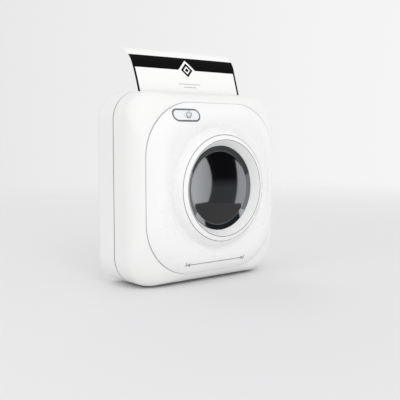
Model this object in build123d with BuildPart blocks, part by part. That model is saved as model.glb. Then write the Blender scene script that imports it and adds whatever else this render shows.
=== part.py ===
from build123d import *
from math import acos, asin, atan2, cos, degrees, hypot, pi, radians, sin, sqrt, tan
import os

os.makedirs("parts", exist_ok=True)

# A pocket printer for 57 mm paper rolls, standing on its feet.
# X runs to the right, Y to the rear and Z up; the window faces the front, and z = 0 is the table.

# The whole body, seen from the front as a rounded square
body_width = 80.3
body_height = 80.3
side_corner = 12.0
housing_depth = 16.0
cover_depth = 16.2
foot_stand = 0.7
wall = 2.0
seam_gap = 0.2
slide_gap = 0.2
running_gap = 0.05
body_gap = 0.3

# Front shoulder and back edge of the body
shoulder_radius = 10.1
shoulder_turn = 57.0
shoulder_steps = 5
panel_corner = 22.7
back_edge_radius = 6.4

# Front panel, a soft pillow with a raised ring round the window
panel_rise = 4.2
panel_run = 9.5
panel_flat_corner = 15.0
panel_steps = 5
panel_wall = 1.8
panel_skirt_depth = 2.2
skirt_gap_width = 16.0
skirt_wall = 1.4
panel_seat = 2.2
post_inset = 2.3
ring_foot_radius = 26.0
ring_top_radius = 22.4
ring_rise = 2.8
ring_ledge = 2.1

# Window bezel and lens
bezel_rise = 0.9
bezel_inner_radius = 20.1
bezel_cone_depth = 3.9
lens_radius = 17.5
lens_flange = 1.1
lens_thickness = 1.3
lens_bevel = 1.5
lens_dome = 0.45
bezel_gap = 0.12
bezel_crest_round = 0.35
seam_round = 0.2

# Power button
button_length = 11.85
button_height = 4.0
button_lowering = 0.57
button_rim_gap = 1.48
button_travel = 0.3
button_thickness = 1.3
surround_width = 0.45
surround_depth = 1.2
stem_offset = 1.95
stem_drop = 1.0
stem_radius = 0.9
plunger_radius = 0.63
plunger_depth = 0.43
switch_size = 3.0
switch_corner = 0.3
switch_height = 1.3
button_board_length = 12.0
button_board_height = 6.4
button_board_corner = 0.6
button_board_drop = 2.8
button_board_reach = 3.1
button_screw_x = 4.8
button_screw_drop = 1.6
button_post_radius = 1.3
small_screw_radius = 0.5
small_screw_depth = 2.2

# Paper and roll
paper_width = 57.0
paper_thickness = 0.1
paper_y = 2.05
slot_front = 1.2
slot_side_gap = 1.2
slip_bend_drop = 3.4
slip_bend_radius = 12.0
slip_lean = 17.0
slip_straight = 13.0
slip_curl_radius = 10.0
slip_curl_turn = 54.0
tear_thickness = 0.4
tear_height = 3.6
tear_recess = 0.15
tear_pitch = 1.4
roll_radius = 15.0
roll_y = 1.8
roll_z = 38.5
core_radius = 6.0
core_wall = 1.3

# Print head, pivoted at its foot and pressed rearwards by two springs
head_width = 52.0
head_thickness = 2.0
head_top_drop = 6.6
head_pivot_drop = 19.5
head_knuckle_radius = 2.0
head_pivot_radius = 1.0
ceramic_thickness = 0.8
ceramic_bottom_drop = 16.4
ceramic_margin = 0.5
paper_gap = 0.15
head_spring_x = 15.0
head_spring_radius = 1.5
head_spring_wire = 0.35
head_spring_turns = 4
spring_length = 4.2
head_spring_drop = 10.0
spring_wall_drop = 3.0
film_thickness = 0.2
cable_overlap = 8.0
cable_rise = 3.0
cable_width = 3.0
cable_side_gap = 0.45
cable_front_y = -6.0
cable_back_y = -2.6

# Platen, carried by the rear cover
platen_radius = 4.0
platen_length = 53.0
platen_shaft_radius = 1.5
platen_drop = 11.5
bush_radius = 3.0
liner_boss = 0.5
liner_screw_x = 20.0
liner_screw_drops = (21.0, 9.0)
liner_half_width = 28.8
liner_thickness = 1.2
liner_bottom_drop = 24.0
liner_top_drop = 6.0
rib_thickness = 1.6
rib_eye_radius = 3.4

# Gear train on the left side
gear_module = 0.5
platen_teeth = 26
idler_small_teeth = 14
idler_large_teeth = 20
pinion_teeth = 12
gear_width = 1.4
gear_axial_gap = 0.3
pressure_angle = 20.0
tooth_share = 0.82
addendum = 0.8
dedendum = 1.2
idler_axle_radius = 1.0
idler_drop_angle = 20.0
motor_y = -6.6
motor_radius = 4.0
motor_length = 13.0
motor_shaft_radius = 0.75
motor_round = 0.6
motor_end_wall = 1.5
motor_screw_reach = 2.8
motor_screw_depth = 2.0
gear_cover_thickness = 0.8
gear_post_radius = 1.2
gear_post_hole_depth = 2.5
gear_post_drops = [(-2.5, 7.6), (1.0, 22.8)]

# Chassis
plate_gap = 0.8
plate_thickness = 1.6
tray_gap = 0.3
tray_wall = 1.2
tray_root = 0.4
tray_start = 205.0
tray_end = 288.0
chassis_wall = 1.2
chassis_floor_z = 6.2
post_radius = 2.0
post_low_z = 27.0
post_high_z = 50.0
post_end_y = -1.0
ear_thickness = 1.2
ear_margin = 0.6
plate_back_gap = 0.5
plate_tray_rise = 2.0
notch_lip = 2.0
notch_lip_low = 2.4
plate_top_rise = 2.6
notch_flare = 0.4
plate_front_y = -9.2
plate_front_z = 12.0
plate_low_y = -7.0
plate_high_y = 0.0
shelf_front_y = -8.6
shelf_margin = 1.0
screw_radius = 0.8
screw_head_ratio = 2.0
screw_head_rise = 1.2
screw_cross_length = 1.2
screw_cross_width = 0.3
screw_length = 5.0

# Electronics
battery_length = 48.0
battery_thickness = 7.0
battery_height = 13.8
battery_corner = 1.2
board_thickness = 1.0
board_left_x = -20.0
board_side_gap = 0.75
board_low_z = 5.6
board_cut = 5.0
board_top_z = 21.4
board_screw_places = [(-17.5, 18.8), (8.0, 8.2), (18.0, 19.5)]
board_chip_places = [(-10.0, 12.0), (2.0, 14.5), (14.0, 12.0), (22.0, 17.0)]
board_chip_sizes = [(7.0, 7.0, 1.0), (5.0, 6.0, 1.2), (6.0, 4.0, 1.1), (3.0, 3.0, 0.9)]
lead_reach = 2.6
lead_z = 15.0
lead_pitch = 1.6
lead_bend_radius = 1.5
socket_wall = 0.3
socket_corner = 0.6
socket_back_wall = 1.0
socket_tongue = 0.7
socket_tongue_width = 5.3
socket_tongue_recess = 0.6
socket_width = 7.5
socket_height = 2.6
socket_depth = 5.6
socket_z = 13.0
lead_radius = 0.5

# Cover hinge, under the side seam
hinge_radius = 1.7
hinge_lift = 1.8
hinge_half_width = 33.5
knuckle_half_width = 13.0
hinge_pin_radius = 0.6
hinge_pin_half_length = 30.0

# Release button on the right side
release_width = 4.6
release_height = 12.0
release_y = -0.2
release_drop = 20.0
release_recess = 0.15
release_flange = 1.2
release_flange_lip = 0.8
release_round = 0.3
release_spring_drop = 4.0
release_spring_radius = 1.8
release_spring_wire = 0.4
release_spring_turns = 5
arm_reach = 2.05
arm_front_y = 1.4
arm_thickness = 1.4
arm_root_rise = 2.0
nose_reach = 4.45
nose_drop = 4.0
nose_overlap = 1.0

# Feet
foot_length = 60.0
foot_width = 3.9
front_foot_y = -1.05
rear_foot_y = 10.8
rear_foot_length = 40.0
foot_seat = 0.6

# Depths along Y, worked out from the sizes above
total_depth = panel_rise + ring_rise + bezel_rise + housing_depth + cover_depth
front_y = -total_depth / 2
panel_seam_y = front_y + panel_rise + ring_rise + bezel_rise
panel_flat_y = panel_seam_y - panel_rise
ring_top_y = panel_flat_y - ring_rise
side_seam_y = panel_seam_y + housing_depth
back_y = side_seam_y + cover_depth
shoulder_y = panel_seam_y + shoulder_radius * sin(radians(shoulder_turn))
seam_inset = shoulder_radius * (1 - cos(radians(shoulder_turn)))

# Heights and widths worked out from the sizes above
centre_z = foot_stand + body_height / 2
top_z = foot_stand + body_height
inner_bottom_z = foot_stand + wall
inner_top_z = top_z - wall
inner_x = body_width / 2 - wall
plate_x = paper_width / 2 + plate_gap
plate_outer_x = plate_x + plate_thickness
cable_x = plate_x - cable_side_gap
lead_x = battery_length / 2 + lead_reach
board_right_x = inner_x - board_side_gap

# The print unit hangs from the top of the body, where the paper comes out
slip_bend_z = top_z - slip_bend_drop
head_top_z = top_z - head_top_drop
head_pivot_z = top_z - head_pivot_drop
ceramic_bottom_z = top_z - ceramic_bottom_drop
spring_z = top_z - head_spring_drop
platen_z = top_z - platen_drop
liner_bottom_z = top_z - liner_bottom_drop
liner_top_z = top_z - liner_top_drop
gear_cover_posts = [(y, top_z - drop) for y, drop in gear_post_drops]
release_z = top_z - release_drop

# The button's pill lies between the ring and the panel's rim, with one end just inside the rim's corner
panel_half_width = body_width / 2 - seam_inset
panel_half_height = body_height / 2 - seam_inset
button_rise = (ring_foot_radius + panel_half_height) / 2 - button_lowering
button_z = centre_z + button_rise
pill_radius = button_height / 2
pill_climb = button_rise - (panel_half_height - panel_corner)
pill_reach = sqrt((panel_corner - button_rim_gap - pill_radius) ** 2 - pill_climb**2)
button_x = button_length / 2 - pill_radius - (panel_half_width - panel_corner) - pill_reach
stem_x = button_x + stem_offset
button_board_z = button_z - button_board_drop
window_axis = Axis((0, 0, centre_z), (0, 1, 0))


def across(y, x=0.0, z=centre_z):
    """A plane across the printer at depth y, facing the front, with its own y upwards."""
    return Plane(origin=(x, y, z), x_dir=(1, 0, 0), z_dir=(0, -1, 0))


def window_plane():
    """The level plane through the window's middle: its x is a radius, its y the depth."""
    return Plane(origin=(0, 0, centre_z), x_dir=(1, 0, 0), z_dir=(0, 0, 1))


def straight_form(front, back, inset):
    """A length of the body's outline, drawn in by inset."""
    with BuildPart() as form:
        with BuildSketch(across(back)):
            RectangleRounded(body_width - 2 * inset, body_height - 2 * inset, side_corner - inset)
        extrude(amount=back - front)
    return form.part


def shoulder_form(inset):
    """The front shoulder between the straight sides and the panel seam, drawn in by inset."""
    radius = shoulder_radius - inset
    with BuildPart() as form:
        for step in range(shoulder_steps + 1):
            turn = radians(shoulder_turn) * step / shoulder_steps
            drawn_in = 1 - cos(turn)
            share = drawn_in / (1 - cos(radians(shoulder_turn)))
            corner = side_corner - inset + (panel_corner - side_corner) * share
            narrower = 2 * (inset + radius * drawn_in)
            with BuildSketch(across(shoulder_y - radius * sin(turn))):
                RectangleRounded(body_width - narrower, body_height - narrower, corner)
        loft()
    return form.part


def pillow_form(inset, base_y, depth):
    """The front panel's pillow: an arc from its rim at base_y forward to a flat, drawn in by inset."""
    radius = (panel_run**2 + panel_rise**2) / (2 * panel_rise)
    full_turn = asin(panel_run / radius)
    scale = depth / panel_rise
    with BuildPart() as form:
        for step in range(panel_steps + 1):
            turn = full_turn * (1 - step / panel_steps)
            inward = panel_run - radius * sin(turn)
            rise = panel_rise - radius * (1 - cos(turn))
            narrower = 2 * (seam_inset + inset + inward)
            corner = panel_corner - inset + (panel_flat_corner - panel_corner) * inward / panel_run
            with BuildSketch(across(base_y - rise * scale)):
                RectangleRounded(body_width - narrower, body_height - narrower, corner)
        loft()
    return form.part


def opening_form(front, back, inset):
    """A straight hole or plug of the panel seam's outline, drawn in by inset."""
    with BuildPart() as form:
        with BuildSketch(across(back)):
            narrower = 2 * (seam_inset + inset)
            RectangleRounded(body_width - narrower, body_height - narrower, panel_corner - inset)
        extrude(amount=back - front)
    return form.part


def bar_along_x(x_from, x_to, y, z, radius):
    """A round bar along X."""
    with BuildPart() as bar:
        with BuildSketch(Plane.YZ.offset(x_from)):
            with Locations((y, z)):
                Circle(radius)
        extrude(amount=x_to - x_from)
    return bar.part


def block(x_range, y_range, z_range):
    """A plain block between two corners."""
    with BuildPart() as made:
        middle = [(low + high) / 2 for low, high in (x_range, y_range, z_range)]
        with Locations(tuple(middle)):
            Box(*[high - low for low, high in (x_range, y_range, z_range)])
    return made.part


# Places of the socket and the hinge
board_y = post_end_y
socket_y = board_y + board_thickness + socket_height / 2
hinge_y = side_seam_y
hinge_z = foot_stand + hinge_lift

# Front housing: a moulded frame with a round shoulder, open at the back and behind the front panel
slot_front_y = paper_y - slot_front
slot_half_width = paper_width / 2 + slot_side_gap
housing_back_y = side_seam_y - seam_gap / 2
post_x = inner_x - post_radius - post_inset
post_places = [(side * post_x, z) for side in (-1, 1) for z in (post_low_z, post_high_z)]
with BuildPart() as housing_outside:
    add(straight_form(shoulder_y, housing_back_y, 0))
    fillet(housing_outside.faces().sort_by(Axis.Y)[-1].edges(), seam_round)
housing_shoulder = shoulder_form(0)
housing_inside = straight_form(shoulder_y, housing_back_y, wall)
housing_shoulder_inside = shoulder_form(wall)
panel_opening = opening_form(panel_seam_y, panel_seam_y + 2 * wall, panel_seat)
hinge_sweep = bar_along_x(-hinge_half_width - body_gap, hinge_half_width + body_gap, hinge_y, hinge_z,
                          hinge_radius + body_gap)
# The relief reaches sideways to where the body's round corner climbs past the hinge axis
relief_half_width = (body_width / 2 - side_corner + body_gap
                     + sqrt(side_corner**2 - (side_corner - hinge_lift) ** 2))
hinge_relief = block((-relief_half_width, relief_half_width),
                     (hinge_y - hinge_lift - body_gap, side_seam_y), (0, hinge_z))
knuckle = bar_along_x(-knuckle_half_width, knuckle_half_width, hinge_y, hinge_z, hinge_radius)
knuckle_root = block((-knuckle_half_width, knuckle_half_width),
                     (hinge_y - 2 * hinge_lift - body_gap, hinge_y),
                     (foot_stand + slide_gap / 2, inner_bottom_z))
foot_pocket_z = foot_stand + foot_seat

with BuildPart() as front_housing:
    add(housing_outside.part)
    add(housing_shoulder)
    add(housing_inside, mode=Mode.SUBTRACT)
    add(housing_shoulder_inside, mode=Mode.SUBTRACT)
    add(panel_opening, mode=Mode.SUBTRACT)
    # Posts behind the front flange take the chassis screws
    for x, z in post_places:
        with BuildSketch(across(post_end_y, x, z)):
            Circle(post_radius)
        extrude(amount=post_end_y - panel_seam_y - panel_skirt_depth - body_gap)
    add(hinge_sweep, mode=Mode.SUBTRACT)
    add(hinge_relief, mode=Mode.SUBTRACT)
    add(knuckle)
    add(knuckle_root)
    with BuildSketch(Plane.YZ.offset(-knuckle_half_width)):
        with Locations((hinge_y, hinge_z)):
            Circle(hinge_pin_radius)
    extrude(amount=2 * knuckle_half_width, mode=Mode.SUBTRACT)
    # Blind holes for the chassis screws
    for x, z in post_places:
        with BuildSketch(across(post_end_y, x, z)):
            Circle(screw_radius)
        extrude(amount=screw_length, mode=Mode.SUBTRACT)
    # The paper slot, cut back from the top edge at the seam
    add(block((-slot_half_width, slot_half_width), (slot_front_y, side_seam_y),
              (inner_top_z - wall, inner_top_z + 2 * wall)), mode=Mode.SUBTRACT)
    # Windows for the socket and the release button in the right wall
    with BuildSketch(Plane.YZ.offset(inner_x - wall)):
        with Locations((socket_y, socket_z)):
            RectangleRounded(socket_height + 2 * slide_gap, socket_width + 2 * slide_gap,
                             socket_corner + slide_gap)
        with Locations((release_y, release_z)):
            SlotOverall(release_height + 2 * slide_gap, release_width + 2 * slide_gap, rotation=90)
    extrude(amount=3 * wall, mode=Mode.SUBTRACT)
    # Shallow pocket for the front foot
    with BuildSketch(Plane.XY):
        with Locations((0, front_foot_y)):
            SlotOverall(foot_length + slide_gap, foot_width + slide_gap)
    extrude(amount=foot_pocket_z, mode=Mode.SUBTRACT)
front_housing.part.label = "front_housing"
export_step(front_housing.part, "parts/front_housing.step")

# Front panel: a moulded pillow that covers the front, with a raised ring and a skirt inside the housing
panel_back_y = panel_seam_y - seam_gap / 2
panel_skirt_inset = panel_seat + slide_gap
panel_outside = pillow_form(0, panel_back_y, panel_rise)
panel_hollow = pillow_form(skirt_wall + panel_skirt_inset, panel_back_y, panel_rise - panel_wall)
panel_skirt = opening_form(panel_back_y, panel_seam_y + panel_skirt_depth, panel_skirt_inset)
skirt_hollow = opening_form(panel_back_y, panel_seam_y + panel_skirt_depth, panel_skirt_inset + skirt_wall)
ring_seat_y = ring_top_y + ring_ledge
ring_hole_radius = bezel_inner_radius + slide_gap
panel_hollow_y = panel_flat_y + panel_wall
board_face_y = panel_hollow_y + button_board_reach
board_screw_z = button_board_z - button_screw_drop
board_post_places = [(stem_x + side * button_screw_x, board_screw_z) for side in (-1, 1)]

# The pill of panel skin that the button's surround is let into
with BuildPart() as surround_seat:
    with BuildSketch(across(panel_seam_y, button_x, button_z)):
        SlotOverall(button_length + 2 * (surround_width + slide_gap),
                    button_height + 2 * (surround_width + slide_gap))
    extrude(amount=2 * panel_rise)
    add(panel_outside, mode=Mode.INTERSECT)
    add(panel_outside.moved(Location((0, surround_depth, 0))), mode=Mode.SUBTRACT)

with BuildPart() as front_panel:
    add(panel_outside)
    add(panel_skirt)
    add(panel_hollow, mode=Mode.SUBTRACT)
    add(skirt_hollow, mode=Mode.SUBTRACT)
    # The raised ring: a soft valley, then a round crest beside the bezel
    with BuildSketch(window_plane()):
        with BuildLine():
            foot = (ring_foot_radius, panel_flat_y)
            middle = ((ring_foot_radius + ring_top_radius) / 2, panel_flat_y - ring_rise / 2)
            crest = (ring_top_radius, ring_top_y)
            Spline(foot, middle, crest, tangents=[(-1, 0), (-1, -0.25)])
            Polyline(crest, (ring_top_radius, ring_seat_y), (ring_hole_radius, ring_seat_y),
                     (ring_hole_radius, panel_hollow_y), (ring_foot_radius, panel_hollow_y), foot)
        make_face()
    revolve(axis=window_axis)
    with BuildSketch(across(panel_seam_y)):
        Circle(ring_hole_radius)
    extrude(amount=panel_seam_y - ring_seat_y, mode=Mode.SUBTRACT)
    with BuildSketch(across(ring_seat_y)):
        Circle(ring_top_radius)
    extrude(amount=ring_ledge + ring_rise, mode=Mode.SUBTRACT)
    # Seat and hole of the power button, with the skirt left out behind it
    add(surround_seat.part, mode=Mode.SUBTRACT)
    with BuildSketch(across(panel_seam_y, button_x, button_z)):
        SlotOverall(button_length + 2 * slide_gap, button_height + 2 * slide_gap)
    extrude(amount=2 * panel_rise, mode=Mode.SUBTRACT)
    add(block((stem_x - skirt_gap_width / 2, stem_x + skirt_gap_width / 2),
              (panel_back_y, panel_seam_y + panel_skirt_depth),
              (button_board_z - 1, centre_z + body_height / 2)), mode=Mode.SUBTRACT)
    # Two posts carry the button board
    for x, z in board_post_places:
        with BuildSketch(across(board_face_y, x, z)):
            Circle(button_post_radius)
        extrude(amount=board_face_y - panel_hollow_y + panel_wall / 2)
        with BuildSketch(across(board_face_y, x, z)):
            Circle(small_screw_radius)
        extrude(amount=small_screw_depth, mode=Mode.SUBTRACT)
front_panel.part.label = "front_panel"
export_step(front_panel.part, "parts/front_panel.step")

# Window bezel: a turned ring that drops onto the panel's ledge and holds the lens
bezel_front_y = ring_top_y - bezel_rise
bezel_seat_radius = ring_top_radius - bezel_gap
lens_front_y = bezel_front_y + bezel_cone_depth
lens_seat_y = lens_front_y + bezel_gap
bezel_back_y = lens_seat_y + lens_thickness
lens_flange_radius = lens_radius + lens_flange
with BuildPart() as window_bezel:
    with BuildSketch(window_plane()):
        with BuildLine():
            Polyline(
                (bezel_seat_radius, ring_top_y),
                (bezel_inner_radius, bezel_front_y),
                (lens_radius, lens_front_y),
                (lens_radius, lens_seat_y),
                (lens_flange_radius + bezel_gap, lens_seat_y),
                (lens_flange_radius + bezel_gap, bezel_back_y),
                (bezel_inner_radius, bezel_back_y),
                (bezel_inner_radius, ring_seat_y),
                (bezel_seat_radius, ring_seat_y),
                close=True,
            )
        make_face()
    revolve(axis=window_axis)
    crest_edges = window_bezel.edges().filter_by(GeomType.CIRCLE).group_by(Axis.Y)[0]
    fillet(crest_edges, bezel_crest_round)
window_bezel.part.label = "window_bezel"
export_step(window_bezel.part, "parts/window_bezel.step")

# Window lens: a dark moulded window with a bevelled edge and a slight dome
with BuildPart() as window_lens:
    with BuildSketch(window_plane()):
        with BuildLine():
            dome_edge = (lens_radius - lens_bevel, lens_front_y - lens_dome)
            dome_top = (0, lens_front_y - 2 * lens_dome)
            Polyline(dome_top, (0, bezel_back_y), (lens_flange_radius, bezel_back_y),
                     (lens_flange_radius, lens_seat_y), (lens_radius - bezel_gap, lens_seat_y),
                     (lens_radius - bezel_gap, lens_front_y), dome_edge)
            dome_radius = (dome_edge[0] ** 2 + lens_dome**2) / (2 * lens_dome)
            RadiusArc(dome_edge, dome_top, dome_radius)
        make_face()
    revolve(axis=window_axis)
window_lens.part.label = "window_lens"
export_step(window_lens.part, "parts/window_lens.step")

# Button surround: a thin grey ring, flush with the panel
with BuildPart() as button_surround:
    add(surround_seat.part)
    with BuildSketch(across(panel_seam_y, button_x, button_z)):
        SlotOverall(button_length + 2 * slide_gap, button_height + 2 * slide_gap)
    extrude(amount=2 * panel_rise, mode=Mode.SUBTRACT)
button_surround.part.label = "button_surround"
export_step(button_surround.part, "parts/button_surround.step")

# Power button: a pill flush with the panel, with a stem behind it that meets the switch
stem_z = button_z - stem_drop
stem_back_y = board_face_y - switch_height - button_travel - slide_gap
switch_face_y = board_face_y - switch_height
with BuildPart() as power_button:
    with BuildSketch(across(panel_seam_y, button_x, button_z)):
        SlotOverall(button_length, button_height)
    extrude(amount=2 * panel_rise)
    add(panel_outside, mode=Mode.INTERSECT)
    add(panel_outside.moved(Location((0, button_thickness, 0))), mode=Mode.SUBTRACT)
    # The back is cut flat, so that the pressed button stays clear of the housing's flange
    add(block((button_x - button_length, button_x + button_length),
              (panel_seam_y - button_travel - slide_gap, panel_seam_y),
              (button_z - button_height, button_z + button_height)), mode=Mode.SUBTRACT)
    with BuildSketch(across(stem_back_y, stem_x, stem_z)):
        Circle(stem_radius)
    extrude(amount=stem_back_y - panel_flat_y - button_thickness)
power_button.part.label = "power_button"
export_step(power_button.part, "parts/power_button.step")

# Switch plunger: rides on the stem's end and moves with the button
with BuildPart() as switch_plunger:
    with BuildSketch(across(switch_face_y + plunger_depth, stem_x, stem_z)):
        Circle(plunger_radius)
    extrude(amount=switch_face_y + plunger_depth - stem_back_y)
switch_plunger.part.label = "switch_plunger"
export_step(switch_plunger.part, "parts/switch_plunger.step")

# Power switch: the switch's case on the button board, open in the middle for its plunger
with BuildPart() as power_switch:
    with BuildSketch(across(board_face_y, stem_x, stem_z)):
        RectangleRounded(switch_size, switch_size, switch_corner)
    extrude(amount=switch_height)
    with BuildSketch(across(switch_face_y, stem_x, stem_z)):
        Circle(plunger_radius + running_gap)
    extrude(amount=-(plunger_depth + button_travel + slide_gap), mode=Mode.SUBTRACT)
power_switch.part.label = "power_switch"
export_step(power_switch.part, "parts/power_switch.step")

# Button board: a small circuit board screwed to two posts behind the panel
with BuildPart() as button_board:
    with BuildSketch(across(board_face_y, stem_x, button_board_z)):
        RectangleRounded(button_board_length, button_board_height, button_board_corner)
    extrude(amount=-board_thickness)
    for x, z in board_post_places:
        with BuildSketch(across(board_face_y, x, z)):
            Circle(small_screw_radius)
        extrude(amount=-board_thickness, mode=Mode.SUBTRACT)
button_board.part.label = "button_board"
export_step(button_board.part, "parts/button_board.step")


def screw(seat, radius, length):
    """A pan-head screw: the head sits on the plane seat and the shank runs along its normal."""
    head_radius = radius * screw_head_ratio
    head_height = radius * screw_head_rise
    with BuildPart() as made:
        with BuildSketch(seat):
            Circle(radius)
        extrude(amount=length)
        with BuildSketch(seat):
            Circle(head_radius)
        extrude(amount=-head_height)
        with BuildSketch(seat.offset(-head_height)):
            Rectangle(head_radius * screw_cross_length, head_radius * screw_cross_width)
            Rectangle(head_radius * screw_cross_width, head_radius * screw_cross_length)
        extrude(amount=head_height / 2, mode=Mode.SUBTRACT)
    return made.part


with BuildPart() as button_board_screws:
    for x, z in board_post_places:
        add(screw(across(board_face_y + board_thickness, x, z), small_screw_radius,
                  board_thickness + small_screw_depth - slide_gap))
button_board_screws.part.label = "button_board_screws"
export_step(button_board_screws.part, "parts/button_board_screws.step")

# Rear cover: the moulded back shell, with the hinge barrel along its lower front edge
cover_front_y = side_seam_y + seam_gap / 2
liner_screw_places = [(side * liner_screw_x, top_z - drop) for side in (-1, 1) for drop in liner_screw_drops]
liner_back_y = back_y - wall - liner_boss


def rounded_back_form(front, back, inset):
    """A length of the body's outline with its back edge rounded."""
    with BuildPart() as form:
        add(straight_form(front, back, inset))
        fillet(form.faces().sort_by(Axis.Y)[-1].edges(), back_edge_radius - inset)
        if inset == 0:
            fillet(form.faces().sort_by(Axis.Y)[0].edges(), seam_round)
    return form.part


cover_outside = rounded_back_form(cover_front_y, back_y, 0)
cover_inside = rounded_back_form(cover_front_y, back_y - wall, wall)
with BuildPart() as hinge_barrel:
    add(bar_along_x(-hinge_half_width, hinge_half_width, hinge_y, hinge_z, hinge_radius))
    add(straight_form(hinge_y - 2 * hinge_radius, hinge_y + 2 * hinge_radius, 0), mode=Mode.INTERSECT)
knuckle_room_x = knuckle_half_width + body_gap
knuckle_room = bar_along_x(-knuckle_room_x, knuckle_room_x, hinge_y, hinge_z, hinge_radius + body_gap)
knuckle_slot = block((-knuckle_room_x, knuckle_room_x),
                     (hinge_y - 2 * hinge_radius, hinge_y + hinge_lift + 2 * body_gap),
                     (0, inner_bottom_z + 2 * body_gap))

with BuildPart() as rear_cover:
    add(cover_outside)
    add(cover_inside, mode=Mode.SUBTRACT)
    add(hinge_barrel.part)
    add(knuckle_room, mode=Mode.SUBTRACT)
    add(knuckle_slot, mode=Mode.SUBTRACT)
    add(bar_along_x(-hinge_pin_half_length - slide_gap, hinge_pin_half_length + slide_gap, hinge_y, hinge_z,
                    hinge_pin_radius + running_gap), mode=Mode.SUBTRACT)
    # Low bosses inside the back take the liner's screws
    for x, z in liner_screw_places:
        with BuildSketch(across(back_y - wall, x, z)):
            Circle(post_radius)
        extrude(amount=back_y - wall - liner_back_y)
        with BuildSketch(across(back_y - wall / 2, x, z)):
            Circle(screw_radius)
        extrude(amount=wall, mode=Mode.SUBTRACT)
    # Shallow pocket for the rear foot
    with BuildSketch(Plane.XY):
        with Locations((0, rear_foot_y)):
            SlotOverall(rear_foot_length + slide_gap, foot_width + slide_gap)
    extrude(amount=foot_pocket_z, mode=Mode.SUBTRACT)
rear_cover.part.label = "rear_cover"
export_step(rear_cover.part, "parts/rear_cover.step")

# Hinge pin: one steel wire through the barrels and the knuckle
with BuildPart() as cover_hinge_pin:
    add(bar_along_x(-hinge_pin_half_length, hinge_pin_half_length, hinge_y, hinge_z, hinge_pin_radius))
cover_hinge_pin.part.label = "cover_hinge_pin"
export_step(cover_hinge_pin.part, "parts/cover_hinge_pin.step")

# Feet: rubber strips let into the undersides of the housing and the cover
with BuildPart() as front_foot:
    with BuildSketch(Plane.XY):
        with Locations((0, front_foot_y)):
            SlotOverall(foot_length, foot_width)
    extrude(amount=foot_pocket_z)
front_foot.part.label = "front_foot"
export_step(front_foot.part, "parts/front_foot.step")

with BuildPart() as rear_foot:
    with BuildSketch(Plane.XY):
        with Locations((0, rear_foot_y)):
            SlotOverall(rear_foot_length, foot_width)
    extrude(amount=foot_pocket_z)
rear_foot.part.label = "rear_foot"
export_step(rear_foot.part, "parts/rear_foot.step")

# Places of the print mechanism
platen_y = paper_y + paper_thickness / 2 + body_gap + platen_radius
platen_pitch_radius = gear_module * platen_teeth / 2
small_pitch_radius = gear_module * idler_small_teeth / 2
large_pitch_radius = gear_module * idler_large_teeth / 2
pinion_pitch_radius = gear_module * pinion_teeth / 2
idler_distance = platen_pitch_radius + small_pitch_radius
idler_angle = 180.0 + idler_drop_angle
idler_y = platen_y + idler_distance * cos(radians(idler_angle))
idler_z = platen_z + idler_distance * sin(radians(idler_angle))
motor_distance = large_pitch_radius + pinion_pitch_radius
motor_z = idler_z - sqrt(motor_distance**2 - (motor_y - idler_y) ** 2)
pinion_angle = degrees(atan2(motor_z - idler_z, motor_y - idler_y))
gear_x = plate_outer_x + gear_axial_gap
large_gear_x = gear_x + gear_width + gear_axial_gap
gear_end_x = large_gear_x + gear_width
head_pivot_y = paper_y - paper_thickness / 2 - paper_gap - head_knuckle_radius
head_back_y = paper_y - paper_thickness / 2 - paper_gap - ceramic_thickness
head_front_y = head_back_y - head_thickness

# Cover liner: a plate inside the cover whose two ribs carry the platen
with BuildPart() as cover_liner:
    add(block((-liner_half_width, liner_half_width), (liner_back_y - liner_thickness, liner_back_y),
              (liner_bottom_z, liner_top_z)))
    for side in (-1, 1):
        rib_x = min(side * liner_half_width, side * (liner_half_width - rib_thickness))
        with BuildSketch(Plane.YZ.offset(rib_x)):
            with Locations((platen_y, platen_z)):
                Circle(rib_eye_radius)
            with BuildLine():
                Polyline(
                    (liner_back_y, liner_bottom_z),
                    (liner_back_y, liner_top_z),
                    (platen_y, platen_z + rib_eye_radius),
                    (platen_y, platen_z - rib_eye_radius),
                    close=True,
                )
            make_face()
        extrude(amount=rib_thickness)
    add(bar_along_x(-liner_half_width, liner_half_width, platen_y, platen_z,
                    platen_shaft_radius + running_gap), mode=Mode.SUBTRACT)
    for x, z in liner_screw_places:
        with BuildSketch(across(liner_back_y, x, z)):
            Circle(screw_radius + slide_gap / 2)
        extrude(amount=liner_thickness, mode=Mode.SUBTRACT)
cover_liner.part.label = "cover_liner"
export_step(cover_liner.part, "parts/cover_liner.step")

# Liner screws: four short screws into the cover's bosses
with BuildPart() as liner_screws:
    for x, z in liner_screw_places:
        seat = Plane(origin=(x, liner_back_y - liner_thickness, z), x_dir=(1, 0, 0), z_dir=(0, 1, 0))
        add(screw(seat, screw_radius, liner_thickness + liner_boss + wall / 2 - body_gap))
liner_screws.part.label = "liner_screws"
export_step(liner_screws.part, "parts/liner_screws.step")

# Platen: a rubber roller on a steel shaft, turning in two bushes, with its gear on the left end
with BuildPart() as platen_rubber:
    add(bar_along_x(-platen_length / 2, platen_length / 2, platen_y, platen_z, platen_radius))
    add(bar_along_x(-platen_length / 2, platen_length / 2, platen_y, platen_z, platen_shaft_radius),
        mode=Mode.SUBTRACT)
platen_rubber.part.label = "platen_rubber"
export_step(platen_rubber.part, "parts/platen_rubber.step")

with BuildPart() as platen_shaft:
    add(bar_along_x(-gear_x - gear_width, plate_outer_x + gear_axial_gap, platen_y, platen_z,
                    platen_shaft_radius))
platen_shaft.part.label = "platen_shaft"
export_step(platen_shaft.part, "parts/platen_shaft.step")

with BuildPart() as platen_bushes:
    for bush_x in (-plate_outer_x, plate_x):
        add(bar_along_x(bush_x, bush_x + plate_thickness, platen_y, platen_z, bush_radius))
        add(bar_along_x(bush_x, bush_x + plate_thickness, platen_y, platen_z,
                        platen_shaft_radius + running_gap), mode=Mode.SUBTRACT)
platen_bushes.part.label = "platen_bushes"
export_step(platen_bushes.part, "parts/platen_bushes.step")


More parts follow.
